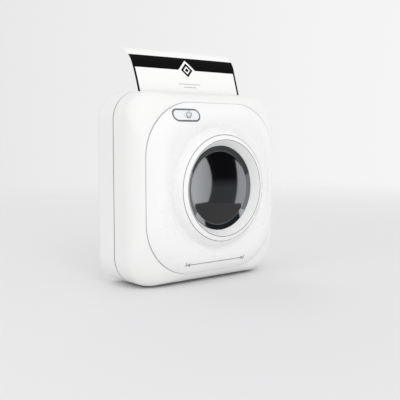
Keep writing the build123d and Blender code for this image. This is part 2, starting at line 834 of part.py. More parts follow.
def flank_half_angle(radius, pitch_radius, teeth):
    """Half the angle that an involute tooth fills at a radius, in degrees, thinned for backlash."""
    base_radius = pitch_radius * cos(radians(pressure_angle))
    slope = acos(min(1.0, base_radius / max(radius, base_radius)))
    involute = tan(slope) - slope
    pitch_involute = tan(radians(pressure_angle)) - radians(pressure_angle)
    return degrees(pi / (2 * teeth) * tooth_share + pitch_involute - involute)


def gear_wheel(x_from, width, y, z, teeth, turned, bore_radius):
    """A spur wheel along X, one tooth pointing at the angle turned, measured from +Y towards +Z."""
    pitch_radius = gear_module * teeth / 2
    root_radius = pitch_radius - dedendum * gear_module
    tip_radius = pitch_radius + addendum * gear_module
    levels = [root_radius, (root_radius + pitch_radius) / 2, pitch_radius,
              (pitch_radius + tip_radius) / 2, tip_radius]
    corners = []
    for tooth in range(teeth):
        middle = turned + 360.0 * tooth / teeth
        for side, radii in ((-1, levels), (1, levels[::-1])):
            for radius in radii:
                angle = radians(middle + side * flank_half_angle(radius, pitch_radius, teeth))
                corners.append((y + radius * cos(angle), z + radius * sin(angle)))
    with BuildPart() as wheel:
        with BuildSketch(Plane.YZ.offset(x_from)):
            with BuildLine():
                Polyline(*corners, close=True)
            make_face()
            with Locations((y, z)):
                Circle(bore_radius, mode=Mode.SUBTRACT)
        extrude(amount=width)
    return wheel.part


with BuildPart() as platen_gear:
    add(gear_wheel(-gear_x - gear_width, gear_width, platen_y, platen_z, platen_teeth, idler_angle,
                   platen_shaft_radius))
platen_gear.part.label = "platen_gear"
export_step(platen_gear.part, "parts/platen_gear.step")

# Idler: a large and a small wheel moulded as one, turning on a pressed-in steel axle
with BuildPart() as idler_gear:
    add(gear_wheel(-large_gear_x, gear_width + gear_axial_gap, idler_y, idler_z, idler_small_teeth,
                   idler_angle - 180.0 + 180.0 / idler_small_teeth, idler_axle_radius + running_gap))
    add(gear_wheel(-gear_end_x, gear_width, idler_y, idler_z, idler_large_teeth, pinion_angle,
                   idler_axle_radius + running_gap))
idler_gear.part.label = "idler_gear"
export_step(idler_gear.part, "parts/idler_gear.step")

gear_cover_x = gear_end_x + gear_axial_gap
with BuildPart() as idler_axle:
    add(bar_along_x(-gear_cover_x - gear_cover_thickness, -plate_x, idler_y, idler_z, idler_axle_radius))
idler_axle.part.label = "idler_axle"
export_step(idler_axle.part, "parts/idler_axle.step")

# Stepper motor: a can on the inside of the left plate, its shaft and pinion passing through
motor_end_x = -plate_x + motor_length
with BuildPart() as stepper_motor:
    add(bar_along_x(-plate_x, motor_end_x, motor_y, motor_z, motor_radius))
    fillet(stepper_motor.edges().filter_by(GeomType.CIRCLE).sort_by(Axis.X)[-1], motor_round)
    add(bar_along_x(-plate_outer_x, -plate_x, motor_y, motor_z, 2 * motor_shaft_radius))
    add(bar_along_x(-plate_outer_x, motor_end_x - motor_end_wall, motor_y, motor_z,
                    motor_shaft_radius + running_gap), mode=Mode.SUBTRACT)
    for side in (-1, 1):
        add(bar_along_x(-plate_x, -plate_x + motor_screw_depth, motor_y, motor_z + side * motor_screw_reach,
                        small_screw_radius), mode=Mode.SUBTRACT)
stepper_motor.part.label = "stepper_motor"
export_step(stepper_motor.part, "parts/stepper_motor.step")

with BuildPart() as motor_shaft:
    add(bar_along_x(-gear_end_x, motor_end_x - motor_end_wall - body_gap, motor_y, motor_z,
                    motor_shaft_radius))
motor_shaft.part.label = "motor_shaft"
export_step(motor_shaft.part, "parts/motor_shaft.step")

with BuildPart() as motor_pinion:
    add(gear_wheel(-gear_end_x, gear_width, motor_y, motor_z, pinion_teeth,
                   pinion_angle - 180.0 + 180.0 / pinion_teeth, motor_shaft_radius))
motor_pinion.part.label = "motor_pinion"
export_step(motor_pinion.part, "parts/motor_pinion.step")

with BuildPart() as motor_screws:
    for side in (-1, 1):
        seat = Plane(origin=(-plate_outer_x, motor_y, motor_z + side * motor_screw_reach),
                     x_dir=(0, 1, 0), z_dir=(1, 0, 0))
        add(screw(seat, small_screw_radius, plate_thickness + motor_screw_depth - slide_gap))
motor_screws.part.label = "motor_screws"
export_step(motor_screws.part, "parts/motor_screws.step")

# Chassis: one moulding with two side plates, the roll tray, the battery shelf and the head's spring wall
board_front_y = post_end_y
back_wall_y = board_front_y - chassis_wall
spring_wall_y = head_front_y - spring_length
tray_inner_radius = roll_radius + tray_gap
tray_outer_radius = tray_inner_radius + tray_wall
tray_low_z = roll_z - tray_outer_radius
ear_out_x = post_x + post_radius
notch_half = bush_radius + body_gap
notch_mouth_y = platen_y + bush_radius + slide_gap
plate_top_z = platen_z + bush_radius + plate_top_rise


def roll_point(radius, angle):
    """A point round the roll's axis, in the Y-Z plane."""
    return (roll_y + radius * cos(radians(angle)), roll_z + radius * sin(radians(angle)))


with BuildPart() as chassis:
    for plate_left in (-plate_outer_x, plate_x):
        with BuildSketch(Plane.YZ.offset(plate_left)):
            with BuildLine():
                Polyline(
                    (plate_low_y, chassis_floor_z),
                    (board_front_y, chassis_floor_z),
                    (board_front_y, tray_low_z),
                    (side_seam_y - plate_back_gap, tray_low_z + plate_tray_rise),
                    (side_seam_y - plate_back_gap, platen_z - bush_radius - notch_lip_low),
                    (notch_mouth_y, platen_z - bush_radius - notch_lip),
                    (notch_mouth_y, platen_z + bush_radius + notch_lip),
                    (plate_high_y, plate_top_z),
                    (plate_low_y, plate_top_z),
                    (plate_front_y, platen_z),
                    (plate_front_y, plate_front_z),
                    close=True,
                )
            make_face()
            # Open notch that the platen's bush drops into when the cover shuts
            with Locations((platen_y, platen_z)):
                Circle(notch_half, mode=Mode.SUBTRACT)
            with BuildLine():
                Polyline(
                    (platen_y, platen_z + notch_half),
                    (notch_mouth_y, platen_z + notch_half + notch_flare),
                    (notch_mouth_y, platen_z - notch_half - notch_flare),
                    (platen_y, platen_z - notch_half),
                    close=True,
                )
            make_face(mode=Mode.SUBTRACT)
        extrude(amount=plate_thickness)
    # Trough under the roll
    with BuildSketch(Plane.YZ.offset(-plate_x - tray_root)):
        with BuildLine():
            CenterArc((roll_y, roll_z), tray_inner_radius, tray_start, tray_end - tray_start)
            CenterArc((roll_y, roll_z), tray_outer_radius, tray_start, tray_end - tray_start)
            Line(roll_point(tray_inner_radius, tray_start), roll_point(tray_outer_radius, tray_start))
            Line(roll_point(tray_inner_radius, tray_end), roll_point(tray_outer_radius, tray_end))
        make_face()
    extrude(amount=2 * (plate_x + tray_root))
    # Wall behind the battery that carries the main board, and the shelf under the battery
    add(block((-plate_outer_x, plate_outer_x), (back_wall_y, board_front_y),
              (chassis_floor_z, tray_low_z + tray_wall / 2)))
    add(block((-battery_length / 2 - shelf_margin, battery_length / 2 + shelf_margin),
              (shelf_front_y, board_front_y), (chassis_floor_z, chassis_floor_z + chassis_wall)))
    # Wall in front of the head that its springs push against
    add(block((-plate_outer_x, plate_outer_x), (spring_wall_y - chassis_wall, spring_wall_y),
              (spring_z - spring_wall_drop, plate_top_z)))
    # Ears that are screwed to the housing's posts
    for side in (-1, 1):
        for z in (post_low_z, post_high_z):
            ear_x = sorted((side * (plate_outer_x - plate_thickness / 2), side * ear_out_x))
            add(block(tuple(ear_x), (post_end_y, post_end_y + ear_thickness),
                      (z - post_radius - ear_margin, z + post_radius + ear_margin)))
    for x, z in post_places:
        with BuildSketch(across(post_end_y + ear_thickness, x, z)):
            Circle(screw_radius + slide_gap / 2)
        extrude(amount=ear_thickness, mode=Mode.SUBTRACT)
    # Bores of the head's pivot, the idler's axle and the motor
    add(bar_along_x(-plate_outer_x, plate_outer_x, head_pivot_y, head_pivot_z, head_pivot_radius),
        mode=Mode.SUBTRACT)
    add(bar_along_x(-plate_outer_x, -plate_x, idler_y, idler_z, idler_axle_radius), mode=Mode.SUBTRACT)
    add(bar_along_x(-plate_outer_x, -plate_x, motor_y, motor_z, 2 * motor_shaft_radius), mode=Mode.SUBTRACT)
    for side in (-1, 1):
        add(bar_along_x(-plate_outer_x, -plate_x, motor_y, motor_z + side * motor_screw_reach,
                        small_screw_radius), mode=Mode.SUBTRACT)
    # Holes for the board screws and a window for the battery leads
    for x, z in board_screw_places:
        with BuildSketch(across(board_front_y, x, z)):
            Circle(screw_radius)
        extrude(amount=chassis_wall, mode=Mode.SUBTRACT)
    add(block((lead_x - 2 * lead_radius, lead_x + 2 * lead_radius), (back_wall_y, board_front_y),
              (lead_z - lead_pitch - lead_radius, lead_z + lead_pitch)), mode=Mode.SUBTRACT)
    # Two stubs on the left plate carry the gear cover
    for y, z in gear_cover_posts:
        add(bar_along_x(-gear_cover_x, -plate_outer_x, y, z, gear_post_radius))
        add(bar_along_x(-gear_cover_x, -gear_cover_x + gear_post_hole_depth, y, z, small_screw_radius),
            mode=Mode.SUBTRACT)
    # Shallow slit in the tray's right end for the head's cable
    add(block((cable_x - slide_gap, plate_x), (cable_front_y - slide_gap, cable_back_y + slide_gap),
              (tray_low_z - tray_wall, roll_z)), mode=Mode.SUBTRACT)
chassis.part.label = "chassis"
export_step(chassis.part, "parts/chassis.step")

# Chassis screws: four, through the ears into the housing's posts
with BuildPart() as chassis_screws:
    for x, z in post_places:
        add(screw(across(post_end_y + ear_thickness, x, z), screw_radius,
                  ear_thickness + screw_length - body_gap))
chassis_screws.part.label = "chassis_screws"
export_step(chassis_screws.part, "parts/chassis_screws.step")

# Gear cover: a thin plate over the idler and the pinion, screwed to the chassis stubs
with BuildPart() as gear_cover:
    with BuildSketch(Plane.YZ.offset(-gear_cover_x - gear_cover_thickness)):
        with Locations(*gear_cover_posts, (motor_y, motor_z), (idler_y, idler_z)):
            Circle(gear_post_radius)
        make_hull()
        with Locations(*gear_cover_posts):
            Circle(small_screw_radius, mode=Mode.SUBTRACT)
        with Locations((idler_y, idler_z)):
            Circle(idler_axle_radius, mode=Mode.SUBTRACT)
    extrude(amount=gear_cover_thickness)
gear_cover.part.label = "gear_cover"
export_step(gear_cover.part, "parts/gear_cover.step")

with BuildPart() as gear_cover_screws:
    for y, z in gear_cover_posts:
        seat = Plane(origin=(-gear_cover_x - gear_cover_thickness, y, z), x_dir=(0, 1, 0), z_dir=(1, 0, 0))
        add(screw(seat, small_screw_radius, gear_cover_thickness + gear_post_hole_depth - body_gap))
gear_cover_screws.part.label = "gear_cover_screws"
export_step(gear_cover_screws.part, "parts/gear_cover_screws.step")

# Print head: an aluminium plate with a knuckle round its pivot, and the ceramic strip on its rear face
with BuildPart() as head_plate:
    add(block((-head_width / 2, head_width / 2), (head_front_y, head_back_y), (head_pivot_z, head_top_z)))
    add(bar_along_x(-head_width / 2, head_width / 2, head_pivot_y, head_pivot_z, head_knuckle_radius))
    add(bar_along_x(-head_width / 2, head_width / 2, head_pivot_y, head_pivot_z,
                    head_pivot_radius + running_gap), mode=Mode.SUBTRACT)
head_plate.part.label = "head_plate"
export_step(head_plate.part, "parts/head_plate.step")

with BuildPart() as head_ceramic:
    add(block((-head_width / 2 + ceramic_margin, head_width / 2 - ceramic_margin),
              (head_back_y, head_back_y + ceramic_thickness), (ceramic_bottom_z, head_top_z - slide_gap)))
head_ceramic.part.label = "head_ceramic"
export_step(head_ceramic.part, "parts/head_ceramic.step")

with BuildPart() as head_pivot_shaft:
    add(bar_along_x(-plate_outer_x, plate_outer_x, head_pivot_y, head_pivot_z, head_pivot_radius))
head_pivot_shaft.part.label = "head_pivot_shaft"
export_step(head_pivot_shaft.part, "parts/head_pivot_shaft.step")


def coil_spring(start, direction, length, radius, wire, turns):
    """A compression spring: one unbroken helix from start along direction."""
    pitch = (length - wire) / turns
    first_turn = Vector(*start) + Vector(*direction) * (wire / 2)
    with BuildPart() as spring:
        with BuildLine() as path:
            Helix(pitch, pitch * turns, radius, center=first_turn, direction=direction)
        with BuildSketch(Plane(origin=path.line @ 0, z_dir=path.line % 0)):
            Circle(wire / 2)
        sweep(is_frenet=True)
    return spring.part


with BuildPart() as head_springs:
    for side in (-1, 1):
        add(coil_spring((side * head_spring_x, spring_wall_y, spring_z), (0, 1, 0), spring_length,
                        head_spring_radius, head_spring_wire, head_spring_turns))
head_springs.part.label = "head_springs"
export_step(head_springs.part, "parts/head_springs.step")

# Head cable: a flat film from the head's front face, turned down along the right plate to the shelf
cable_low_z = head_pivot_z + cable_rise
cable_high_z = cable_low_z + cable_width
with BuildPart() as head_flex_cable:
    add(block((head_width / 2 - cable_overlap, cable_x + film_thickness),
              (head_front_y - film_thickness, head_front_y), (cable_low_z, cable_high_z)))
    add(block((cable_x, cable_x + film_thickness), (cable_front_y, head_front_y), (cable_low_z, cable_high_z)))
    add(block((cable_x, cable_x + film_thickness), (cable_front_y, cable_back_y),
              (chassis_floor_z + chassis_wall + body_gap, cable_high_z)))
head_flex_cable.part.label = "head_flex_cable"
export_step(head_flex_cable.part, "parts/head_flex_cable.step")

# Tear bar: a toothed steel strip on the front wall of the paper slot
tear_half_width = slot_half_width - body_gap
tear_teeth = int(2 * tear_half_width / tear_pitch)
tear_step = 2 * tear_half_width / tear_teeth
tear_top_z = foot_stand + body_height - tear_recess
with BuildPart() as tear_bar:
    with BuildSketch(across(slot_front_y + tear_thickness, 0, 0)):
        with BuildLine():
            points = [(tear_half_width, tear_top_z - tear_height), (-tear_half_width, tear_top_z - tear_height)]
            for tooth in range(tear_teeth):
                left = -tear_half_width + tooth * tear_step
                points.append((left, tear_top_z - tear_pitch / 2))
                points.append((left + tear_step / 2, tear_top_z))
            points.append((tear_half_width, tear_top_z - tear_pitch / 2))
            Polyline(*points, close=True)
        make_face()
    extrude(amount=tear_thickness)
tear_bar.part.label = "tear_bar"
export_step(tear_bar.part, "parts/tear_bar.step")

# Paper roll on its core, lying in the tray
with BuildPart() as roll_core:
    add(bar_along_x(-paper_width / 2, paper_width / 2, roll_y, roll_z, core_radius))
    add(bar_along_x(-paper_width / 2, paper_width / 2, roll_y, roll_z, core_radius - core_wall),
        mode=Mode.SUBTRACT)
roll_core.part.label = "roll_core"
export_step(roll_core.part, "parts/roll_core.step")

with BuildPart() as paper_roll:
    add(bar_along_x(-paper_width / 2, paper_width / 2, roll_y, roll_z, roll_radius))
    add(bar_along_x(-paper_width / 2, paper_width / 2, roll_y, roll_z, core_radius), mode=Mode.SUBTRACT)
paper_roll.part.label = "paper_roll"
export_step(paper_roll.part, "parts/paper_roll.step")

# Paper web: from the roll's front, round the head's knuckle and straight up to the nip
web_roll_radius = roll_radius + body_gap + paper_thickness / 2
web_guide_radius = paper_y - head_pivot_y
web_span = hypot(head_pivot_y - roll_y, head_pivot_z - roll_z)
web_angle = atan2(head_pivot_z - roll_z, head_pivot_y - roll_y) + acos(
    (web_roll_radius + web_guide_radius) / web_span)
web_start = (roll_y + web_roll_radius * cos(web_angle), roll_z + web_roll_radius * sin(web_angle))
web_turn = (head_pivot_y - web_guide_radius * cos(web_angle), head_pivot_z - web_guide_radius * sin(web_angle))
web_top = (paper_y, ceramic_bottom_z - body_gap)
with BuildPart() as paper_web:
    with BuildSketch(Plane.YZ.offset(-paper_width / 2)):
        with BuildLine():
            slant = Line(web_start, web_turn)
            bend = TangentArc(web_turn, (paper_y, head_pivot_z), tangent=slant % 1)
            Line(bend @ 1, web_top)
            offset(amount=paper_thickness / 2, side=Side.BOTH)
        make_face()
    extrude(amount=paper_width)
paper_web.part.label = "paper_web"
export_step(paper_web.part, "parts/paper_web.step")

# Paper slip: up through the nip, leaning back as it leaves the slot, with a curl at its free end
lean = radians(slip_lean)
lean_turn_point = (paper_y + slip_bend_radius * (1 - cos(lean)), slip_bend_z + slip_bend_radius * sin(lean))
lean_end = (lean_turn_point[0] + slip_straight * sin(lean), lean_turn_point[1] + slip_straight * cos(lean))
curl = radians(slip_lean + slip_curl_turn)
slip_end = (lean_end[0] + slip_curl_radius * (cos(lean) - cos(curl)),
            lean_end[1] + slip_curl_radius * (sin(curl) - sin(lean)))
with BuildPart() as paper_slip:
    with BuildSketch(Plane.YZ.offset(-paper_width / 2)):
        with BuildLine():
            rise = Line((paper_y, ceramic_bottom_z), (paper_y, slip_bend_z))
            lean_bend = TangentArc(rise @ 1, lean_turn_point, tangent=rise % 1)
            straight = Line(lean_bend @ 1, lean_end)
            TangentArc(straight @ 1, slip_end, tangent=straight % 1)
            offset(amount=paper_thickness / 2, side=Side.BOTH)
        make_face()
    extrude(amount=paper_width)
paper_slip.part.label = "paper_slip"
export_step(paper_slip.part, "parts/paper_slip.step")

# Battery: a soft-edged lithium cell on the chassis shelf
battery_back_y = back_wall_y - body_gap / 2
with BuildPart() as battery:
    add(block((-battery_length / 2, battery_length / 2), (battery_back_y - battery_thickness, battery_back_y),
              (chassis_floor_z + chassis_wall, chassis_floor_z + chassis_wall + battery_height)))
    fillet(battery.edges().filter_by(Axis.Z), battery_corner)
battery.part.label = "battery"
export_step(battery.part, "parts/battery.step")

# Battery leads: two wires from the cell's right end through the wall to the board
lead_y = battery_back_y - battery_thickness / 2
with BuildPart() as battery_leads:
    for z in (lead_z - lead_pitch / 2, lead_z + lead_pitch / 2):
        with BuildLine() as lead_path:
            FilletPolyline((battery_length / 2, lead_y, z), (lead_x, lead_y, z), (lead_x, board_front_y, z),
                           radius=lead_bend_radius)
        with BuildSketch(Plane(origin=lead_path.line @ 0, z_dir=lead_path.line % 0)):
            Circle(lead_radius)
        sweep()
battery_leads.part.label = "battery_leads"
export_step(battery_leads.part, "parts/battery_leads.step")

# Main board: screwed to the chassis wall, reaching to the right for its socket
board_back_y = board_front_y + board_thickness
with BuildPart() as main_board:
    with BuildSketch(across(board_back_y, 0, 0)):
        with BuildLine():
            Polyline(
                (board_left_x, board_low_z),
                (board_right_x - board_cut, board_low_z),
                (board_right_x, board_low_z + board_cut),
                (board_right_x, board_top_z),
                (board_left_x, board_top_z),
                close=True,
            )
        make_face()
        with Locations(*board_screw_places):
            Circle(screw_radius, mode=Mode.SUBTRACT)
    extrude(amount=board_thickness)
main_board.part.label = "main_board"
export_step(main_board.part, "parts/main_board.step")

with BuildPart() as board_chips:
    for (x, z), (width, height, rise) in zip(board_chip_places, board_chip_sizes):
        with BuildSketch(across(board_back_y, x, z)):
            Rectangle(width, height)
        extrude(amount=-rise)
board_chips.part.label = "board_chips"
export_step(board_chips.part, "parts/board_chips.step")

with BuildPart() as board_screws:
    for x, z in board_screw_places:
        add(screw(across(board_back_y, x, z), screw_radius, board_thickness + chassis_wall))
board_screws.part.label = "board_screws"
export_step(board_screws.part, "parts/board_screws.step")

# Charging socket: a folded steel shell on the board's right edge, open towards the wall's window
with BuildPart() as usb_socket:
    with BuildSketch(Plane.YZ.offset(inner_x - slide_gap)):
        with Locations((socket_y, socket_z)):
            RectangleRounded(socket_height, socket_width, socket_corner)
    extrude(amount=-socket_depth)
    with BuildSketch(Plane.YZ.offset(inner_x - slide_gap)):
        with Locations((socket_y, socket_z)):
            RectangleRounded(socket_height - 2 * socket_wall, socket_width - 2 * socket_wall,
                             socket_corner - socket_wall)
    extrude(amount=-(socket_depth - socket_back_wall), mode=Mode.SUBTRACT)
    with BuildSketch(Plane.YZ.offset(inner_x - slide_gap - socket_depth)):
        with Locations((socket_y, socket_z)):
            Rectangle(socket_tongue, socket_tongue_width)
    extrude(amount=socket_depth - socket_tongue_recess)
usb_socket.part.label = "usb_socket"
export_step(usb_socket.part, "parts/usb_socket.step")

# Release button: a pill through the right wall, whose arm reaches behind the platen's right bush
flange_out_x = inner_x - body_gap
flange_in_x = flange_out_x - release_flange
arm_in_x = flange_in_x - arm_reach
nose_in_x = flange_in_x - nose_reach
with BuildPart() as release_button:
    with BuildSketch(Plane.YZ.offset(flange_in_x)):
        with Locations((release_y, release_z)):
            SlotOverall(release_height, release_width, rotation=90)
    extrude(amount=body_width / 2 - release_recess - flange_in_x)
    fillet(release_button.faces().sort_by(Axis.X)[-1].edges(), release_round)
    with BuildSketch(Plane.YZ.offset(flange_in_x)):
        with Locations((release_y, release_z)):
            SlotOverall(release_height + 2 * release_flange_lip, release_width + 2 * release_flange_lip,
                        rotation=90)
    extrude(amount=release_flange)
    add(block((arm_in_x, flange_in_x + release_flange / 2), (arm_front_y, arm_front_y + arm_thickness),
              (release_z + arm_root_rise, platen_z)))
    add(block((nose_in_x, arm_in_x + nose_overlap), (arm_front_y, arm_front_y + arm_thickness),
              (platen_z - nose_drop, platen_z)))
release_button.part.label = "release_button"
export_step(release_button.part, "parts/release_button.step")

with BuildPart() as release_spring:
    add(coil_spring((plate_outer_x, release_y, release_z - release_spring_drop), (1, 0, 0),
                    flange_in_x - plate_outer_x, release_spring_radius, release_spring_wire,
                    release_spring_turns))
release_spring.part.label = "release_spring"
export_step(release_spring.part, "parts/release_spring.step")
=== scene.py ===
from math import cos, pi, radians, sin, sqrt

import bmesh
import bpy
from mathutils import Matrix, Vector


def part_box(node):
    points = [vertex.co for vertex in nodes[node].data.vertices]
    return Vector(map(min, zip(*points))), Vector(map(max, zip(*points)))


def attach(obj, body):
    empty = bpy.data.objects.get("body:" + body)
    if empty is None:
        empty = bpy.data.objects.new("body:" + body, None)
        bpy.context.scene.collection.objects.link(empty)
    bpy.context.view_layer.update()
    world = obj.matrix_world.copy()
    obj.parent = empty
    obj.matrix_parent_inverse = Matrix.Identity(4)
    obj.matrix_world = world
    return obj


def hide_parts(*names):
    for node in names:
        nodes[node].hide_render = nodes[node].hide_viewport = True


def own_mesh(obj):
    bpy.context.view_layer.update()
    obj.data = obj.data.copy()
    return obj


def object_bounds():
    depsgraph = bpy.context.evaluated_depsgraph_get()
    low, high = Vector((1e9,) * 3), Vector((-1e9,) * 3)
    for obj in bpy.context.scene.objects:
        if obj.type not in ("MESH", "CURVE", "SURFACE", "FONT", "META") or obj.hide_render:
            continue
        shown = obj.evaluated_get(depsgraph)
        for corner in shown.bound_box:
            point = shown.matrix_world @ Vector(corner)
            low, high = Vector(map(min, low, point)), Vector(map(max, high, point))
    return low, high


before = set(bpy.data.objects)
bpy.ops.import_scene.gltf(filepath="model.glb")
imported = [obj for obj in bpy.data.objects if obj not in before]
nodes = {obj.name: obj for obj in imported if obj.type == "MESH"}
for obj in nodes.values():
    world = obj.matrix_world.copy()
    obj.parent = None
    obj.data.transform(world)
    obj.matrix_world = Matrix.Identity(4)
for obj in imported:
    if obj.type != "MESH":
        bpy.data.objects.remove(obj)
cad_low, cad_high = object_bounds()

# The camera stands to the printer's left, a little above its middle, where the photograph's edges put it.
# It has a long lens, and its frame is the photograph's own square.
camera_turn = 40.25
camera_tilt = 5.155
camera_data = bpy.data.cameras.new("camera")
camera_data.lens = 63.08
camera_data.sensor_width = 36
camera_data.clip_start = 0.01
camera_data.clip_end = 20
camera = bpy.data.objects.new("camera", camera_data)
camera.location = (-0.197417, -0.236323, 0.062349)
camera.rotation_euler = (radians(90 - camera_tilt), 0, radians(-camera_turn))
bpy.context.scene.collection.objects.link(camera)
bpy.context.scene.camera = camera
bpy.context.scene.view_settings.view_transform = "Standard"


# The table is a plain pale sheet that fades into the backdrop, as a sheet of paper does in a studio.
# Bounced light sees a slightly brighter tone of it than the camera does, which fills the object's underside.
def new_material(name, colour, roughness=0.5, metallic=0.0):
    """A material with one Principled shader, that material's node tree, and the shader."""
    made = bpy.data.materials.new(name)
    made.use_nodes = True
    shader = made.node_tree.nodes["Principled BSDF"]
    shader.inputs["Base Color"].default_value = (*colour, 1)
    shader.inputs["Roughness"].default_value = roughness
    shader.inputs["Metallic"].default_value = metallic
    return made, made.node_tree, shader


def new_node(tree, kind, inputs=None, **settings):
    """A node of that kind, with its settings and the values or links of its inputs."""
    node = tree.nodes.new(kind)
    for name, value in settings.items():
        setattr(node, name, value)
    for name, value in (inputs or {}).items():
        if isinstance(value, bpy.types.NodeSocket):
            tree.links.new(value, node.inputs[name])
        else:
            node.inputs[name].default_value = value
    return node


def math_node(tree, operation, first, second=0.0, third=0.0):
    """The result of one sum on values or links."""
    return new_node(tree, "ShaderNodeMath", {0: first, 1: second, 2: third}, operation=operation).outputs[0]


def new_piece(name, form):
    """An object with a finished bmesh, linked into the scene."""
    mesh = bpy.data.meshes.new(name)
    form.to_mesh(mesh)
    form.free()
    piece = bpy.data.objects.new(name, mesh)
    bpy.context.scene.collection.objects.link(piece)
    return piece


def map_range(tree, value, start, end, first=0.0, last=1.0, **settings):
    """A value stretched from one range to another and held within it."""
    ranges = {"Value": value, "From Min": start, "From Max": end, "To Min": first, "To Max": last}
    return new_node(tree, "ShaderNodeMapRange", ranges, **settings).outputs["Result"]


def mix_colour(tree, mask, under, over):
    """One colour laid over another where a mask is."""
    inputs = {0: mask, 6: under, 7: over}
    return new_node(tree, "ShaderNodeMix", inputs, data_type="RGBA").outputs[2]


floor_tone = (0.83, 0.83, 0.84)
bounced_tone = (0.86, 0.86, 0.86)
floor_radius = 0.8
fade_start = 0.16
fade_end = 0.75
floor_material, tree, shader = new_material("floor_paper", floor_tone, 0.95)
shader.inputs["Specular IOR Level"].default_value = 0.1
path = new_node(tree, "ShaderNodeLightPath").outputs
tone = mix_colour(tree, path["Is Diffuse Ray"], (*floor_tone, 1), (*bounced_tone, 1))
tree.links.new(tone, shader.inputs["Base Color"])
place = new_node(tree, "ShaderNodeTexCoord").outputs["Object"]
reach = new_node(tree, "ShaderNodeVectorMath", {0: place}, operation="LENGTH").outputs["Value"]
fade = map_range(tree, reach, fade_start, fade_end, interpolation_type="SMOOTHSTEP")
clear = new_node(tree, "ShaderNodeBsdfTransparent").outputs["BSDF"]
mixed = new_node(tree, "ShaderNodeMixShader", {0: fade, 1: shader.outputs["BSDF"], 2: clear})
tree.links.new(mixed.outputs["Shader"], tree.nodes["Material Output"].inputs["Surface"])
form = bmesh.new()
bmesh.ops.create_circle(form, cap_ends=True, segments=64, radius=floor_radius)
floor = new_piece("floor", form)
floor.data.materials.append(floor_material)

# The backdrop is the world itself, plain and a little brighter to the right.
# What lights the object from all round is a softer level of it, brighter above than below.
backdrop_start = 0.35
backdrop_end = 0.85
backdrop_left = 0.80
backdrop_right = 0.92
ambient_below = 0.68
ambient_above = 0.84
world = bpy.data.worlds.new("studio")
world.use_nodes = True
tree = world.node_tree
direction = new_node(tree, "ShaderNodeTexCoord").outputs["Generated"]
parts = new_node(tree, "ShaderNodeSeparateXYZ", {"Vector": direction}).outputs
backdrop = map_range(tree, parts["X"], backdrop_start, backdrop_end, backdrop_left, backdrop_right)
ambient = map_range(tree, parts["Z"], -1.0, 1.0, ambient_below, ambient_above)
path = new_node(tree, "ShaderNodeLightPath").outputs
seen = math_node(tree, "MAXIMUM", path["Is Camera Ray"], path["Is Glossy Ray"])
seen = math_node(tree, "MAXIMUM", seen, path["Is Transmission Ray"])
level = new_node(tree, "ShaderNodeMix", {0: seen, 2: ambient, 3: backdrop}).outputs[0]
tree.links.new(level, tree.nodes["Background"].inputs["Strength"])
tree.nodes["Background"].inputs["Color"].default_value = (1.0, 1.0, 1.0, 1)
bpy.context.scene.world = world

# Large soft lamps stand in front of the printer, high and low, and at its left, with a weaker one behind.
# They are hidden from gloss: what the dark window reflects are the cards below and the backdrop.
printer_middle = Vector((0, 0, 0.045))


def soft_lamp(name, place, width, height, power):
    """A soft rectangular lamp that points at the printer."""
    data = bpy.data.lights.new(name, "AREA")
    data.shape = "RECTANGLE"
    data.size = width
    data.size_y = height
    data.energy = power
    lamp = bpy.data.objects.new(name, data)
    lamp.location = place
    lamp.rotation_euler = (printer_middle - Vector(place)).to_track_quat("-Z", "Y").to_euler()
    lamp.visible_glossy = False
    bpy.context.scene.collection.objects.link(lamp)


soft_lamp("front_lamp", place=(-0.35, -0.8, 0.75), width=0.5, height=0.5, power=1.85)
soft_lamp("low_lamp", place=(0.15, -0.95, 0.06), width=0.8, height=0.3, power=1.35)
soft_lamp("left_lamp", place=(-1.0, -0.1, 0.35), width=0.6, height=0.6, power=1.05)
soft_lamp("back_lamp", place=(0.5, 1.0, 0.6), width=0.6, height=0.6, power=1.0)

# Cards stand round the printer's front, where only the dark window sees them: bright strips and a black one.
# They put the long reflections into the window, and they cast no shadow and light nothing else.
window_front = Vector((0, -0.0166, 0))
window_group = bpy.data.collections.new("window_group")
card_tint = (0.94, 0.97, 1.0)
bow_height = 0.03
strip_turn = 41.4
card_foot = 0.0015


def reflected_card(name, turn, distance, sides, heights, axis, glow_from, glow_to, bows=(0.0, 0.0),
                   slant=0.0):
    """A card with bowed sides, whose glow runs along an axis from one place and strength to another."""
    form = bmesh.new()
    grid = bmesh.ops.create_grid(form, x_segments=1, y_segments=24, size=0.5)["verts"]
    bottom, top = heights
    for corner in grid:
        side = 0 if corner.co.x < 0 else 1
        low = bottom + slant * sides[side]
        height = low + (top - low) * (corner.co.y + 0.5)
        corner.co = (sides[side] - bows[side] * (height - bow_height) ** 2, 0, height)
    card = new_piece(name, form)
    card.location = window_front + distance * Vector((sin(radians(turn)), -cos(radians(turn)), 0))
    card.rotation_euler = (0, 0, radians(turn))
    card.visible_camera = False
    card.visible_diffuse = False
    card.visible_shadow = False
    card.light_linking.receiver_collection = window_group
    made = bpy.data.materials.new(name)
    made.use_nodes = True
    tree = made.node_tree
    tree.nodes.clear()
    own = new_node(tree, "ShaderNodeTexCoord").outputs["Object"]
    own = new_node(tree, "ShaderNodeSeparateXYZ", {"Vector": own}).outputs[axis]
    glow = map_range(tree, own, glow_from[0], glow_to[0], glow_from[1], glow_to[1])
    emission = new_node(tree, "ShaderNodeEmission", {"Color": (*card_tint, 1), "Strength": glow})
    new_node(tree, "ShaderNodeOutputMaterial", {"Surface": emission.outputs["Emission"]})
    card.data.materials.append(made)


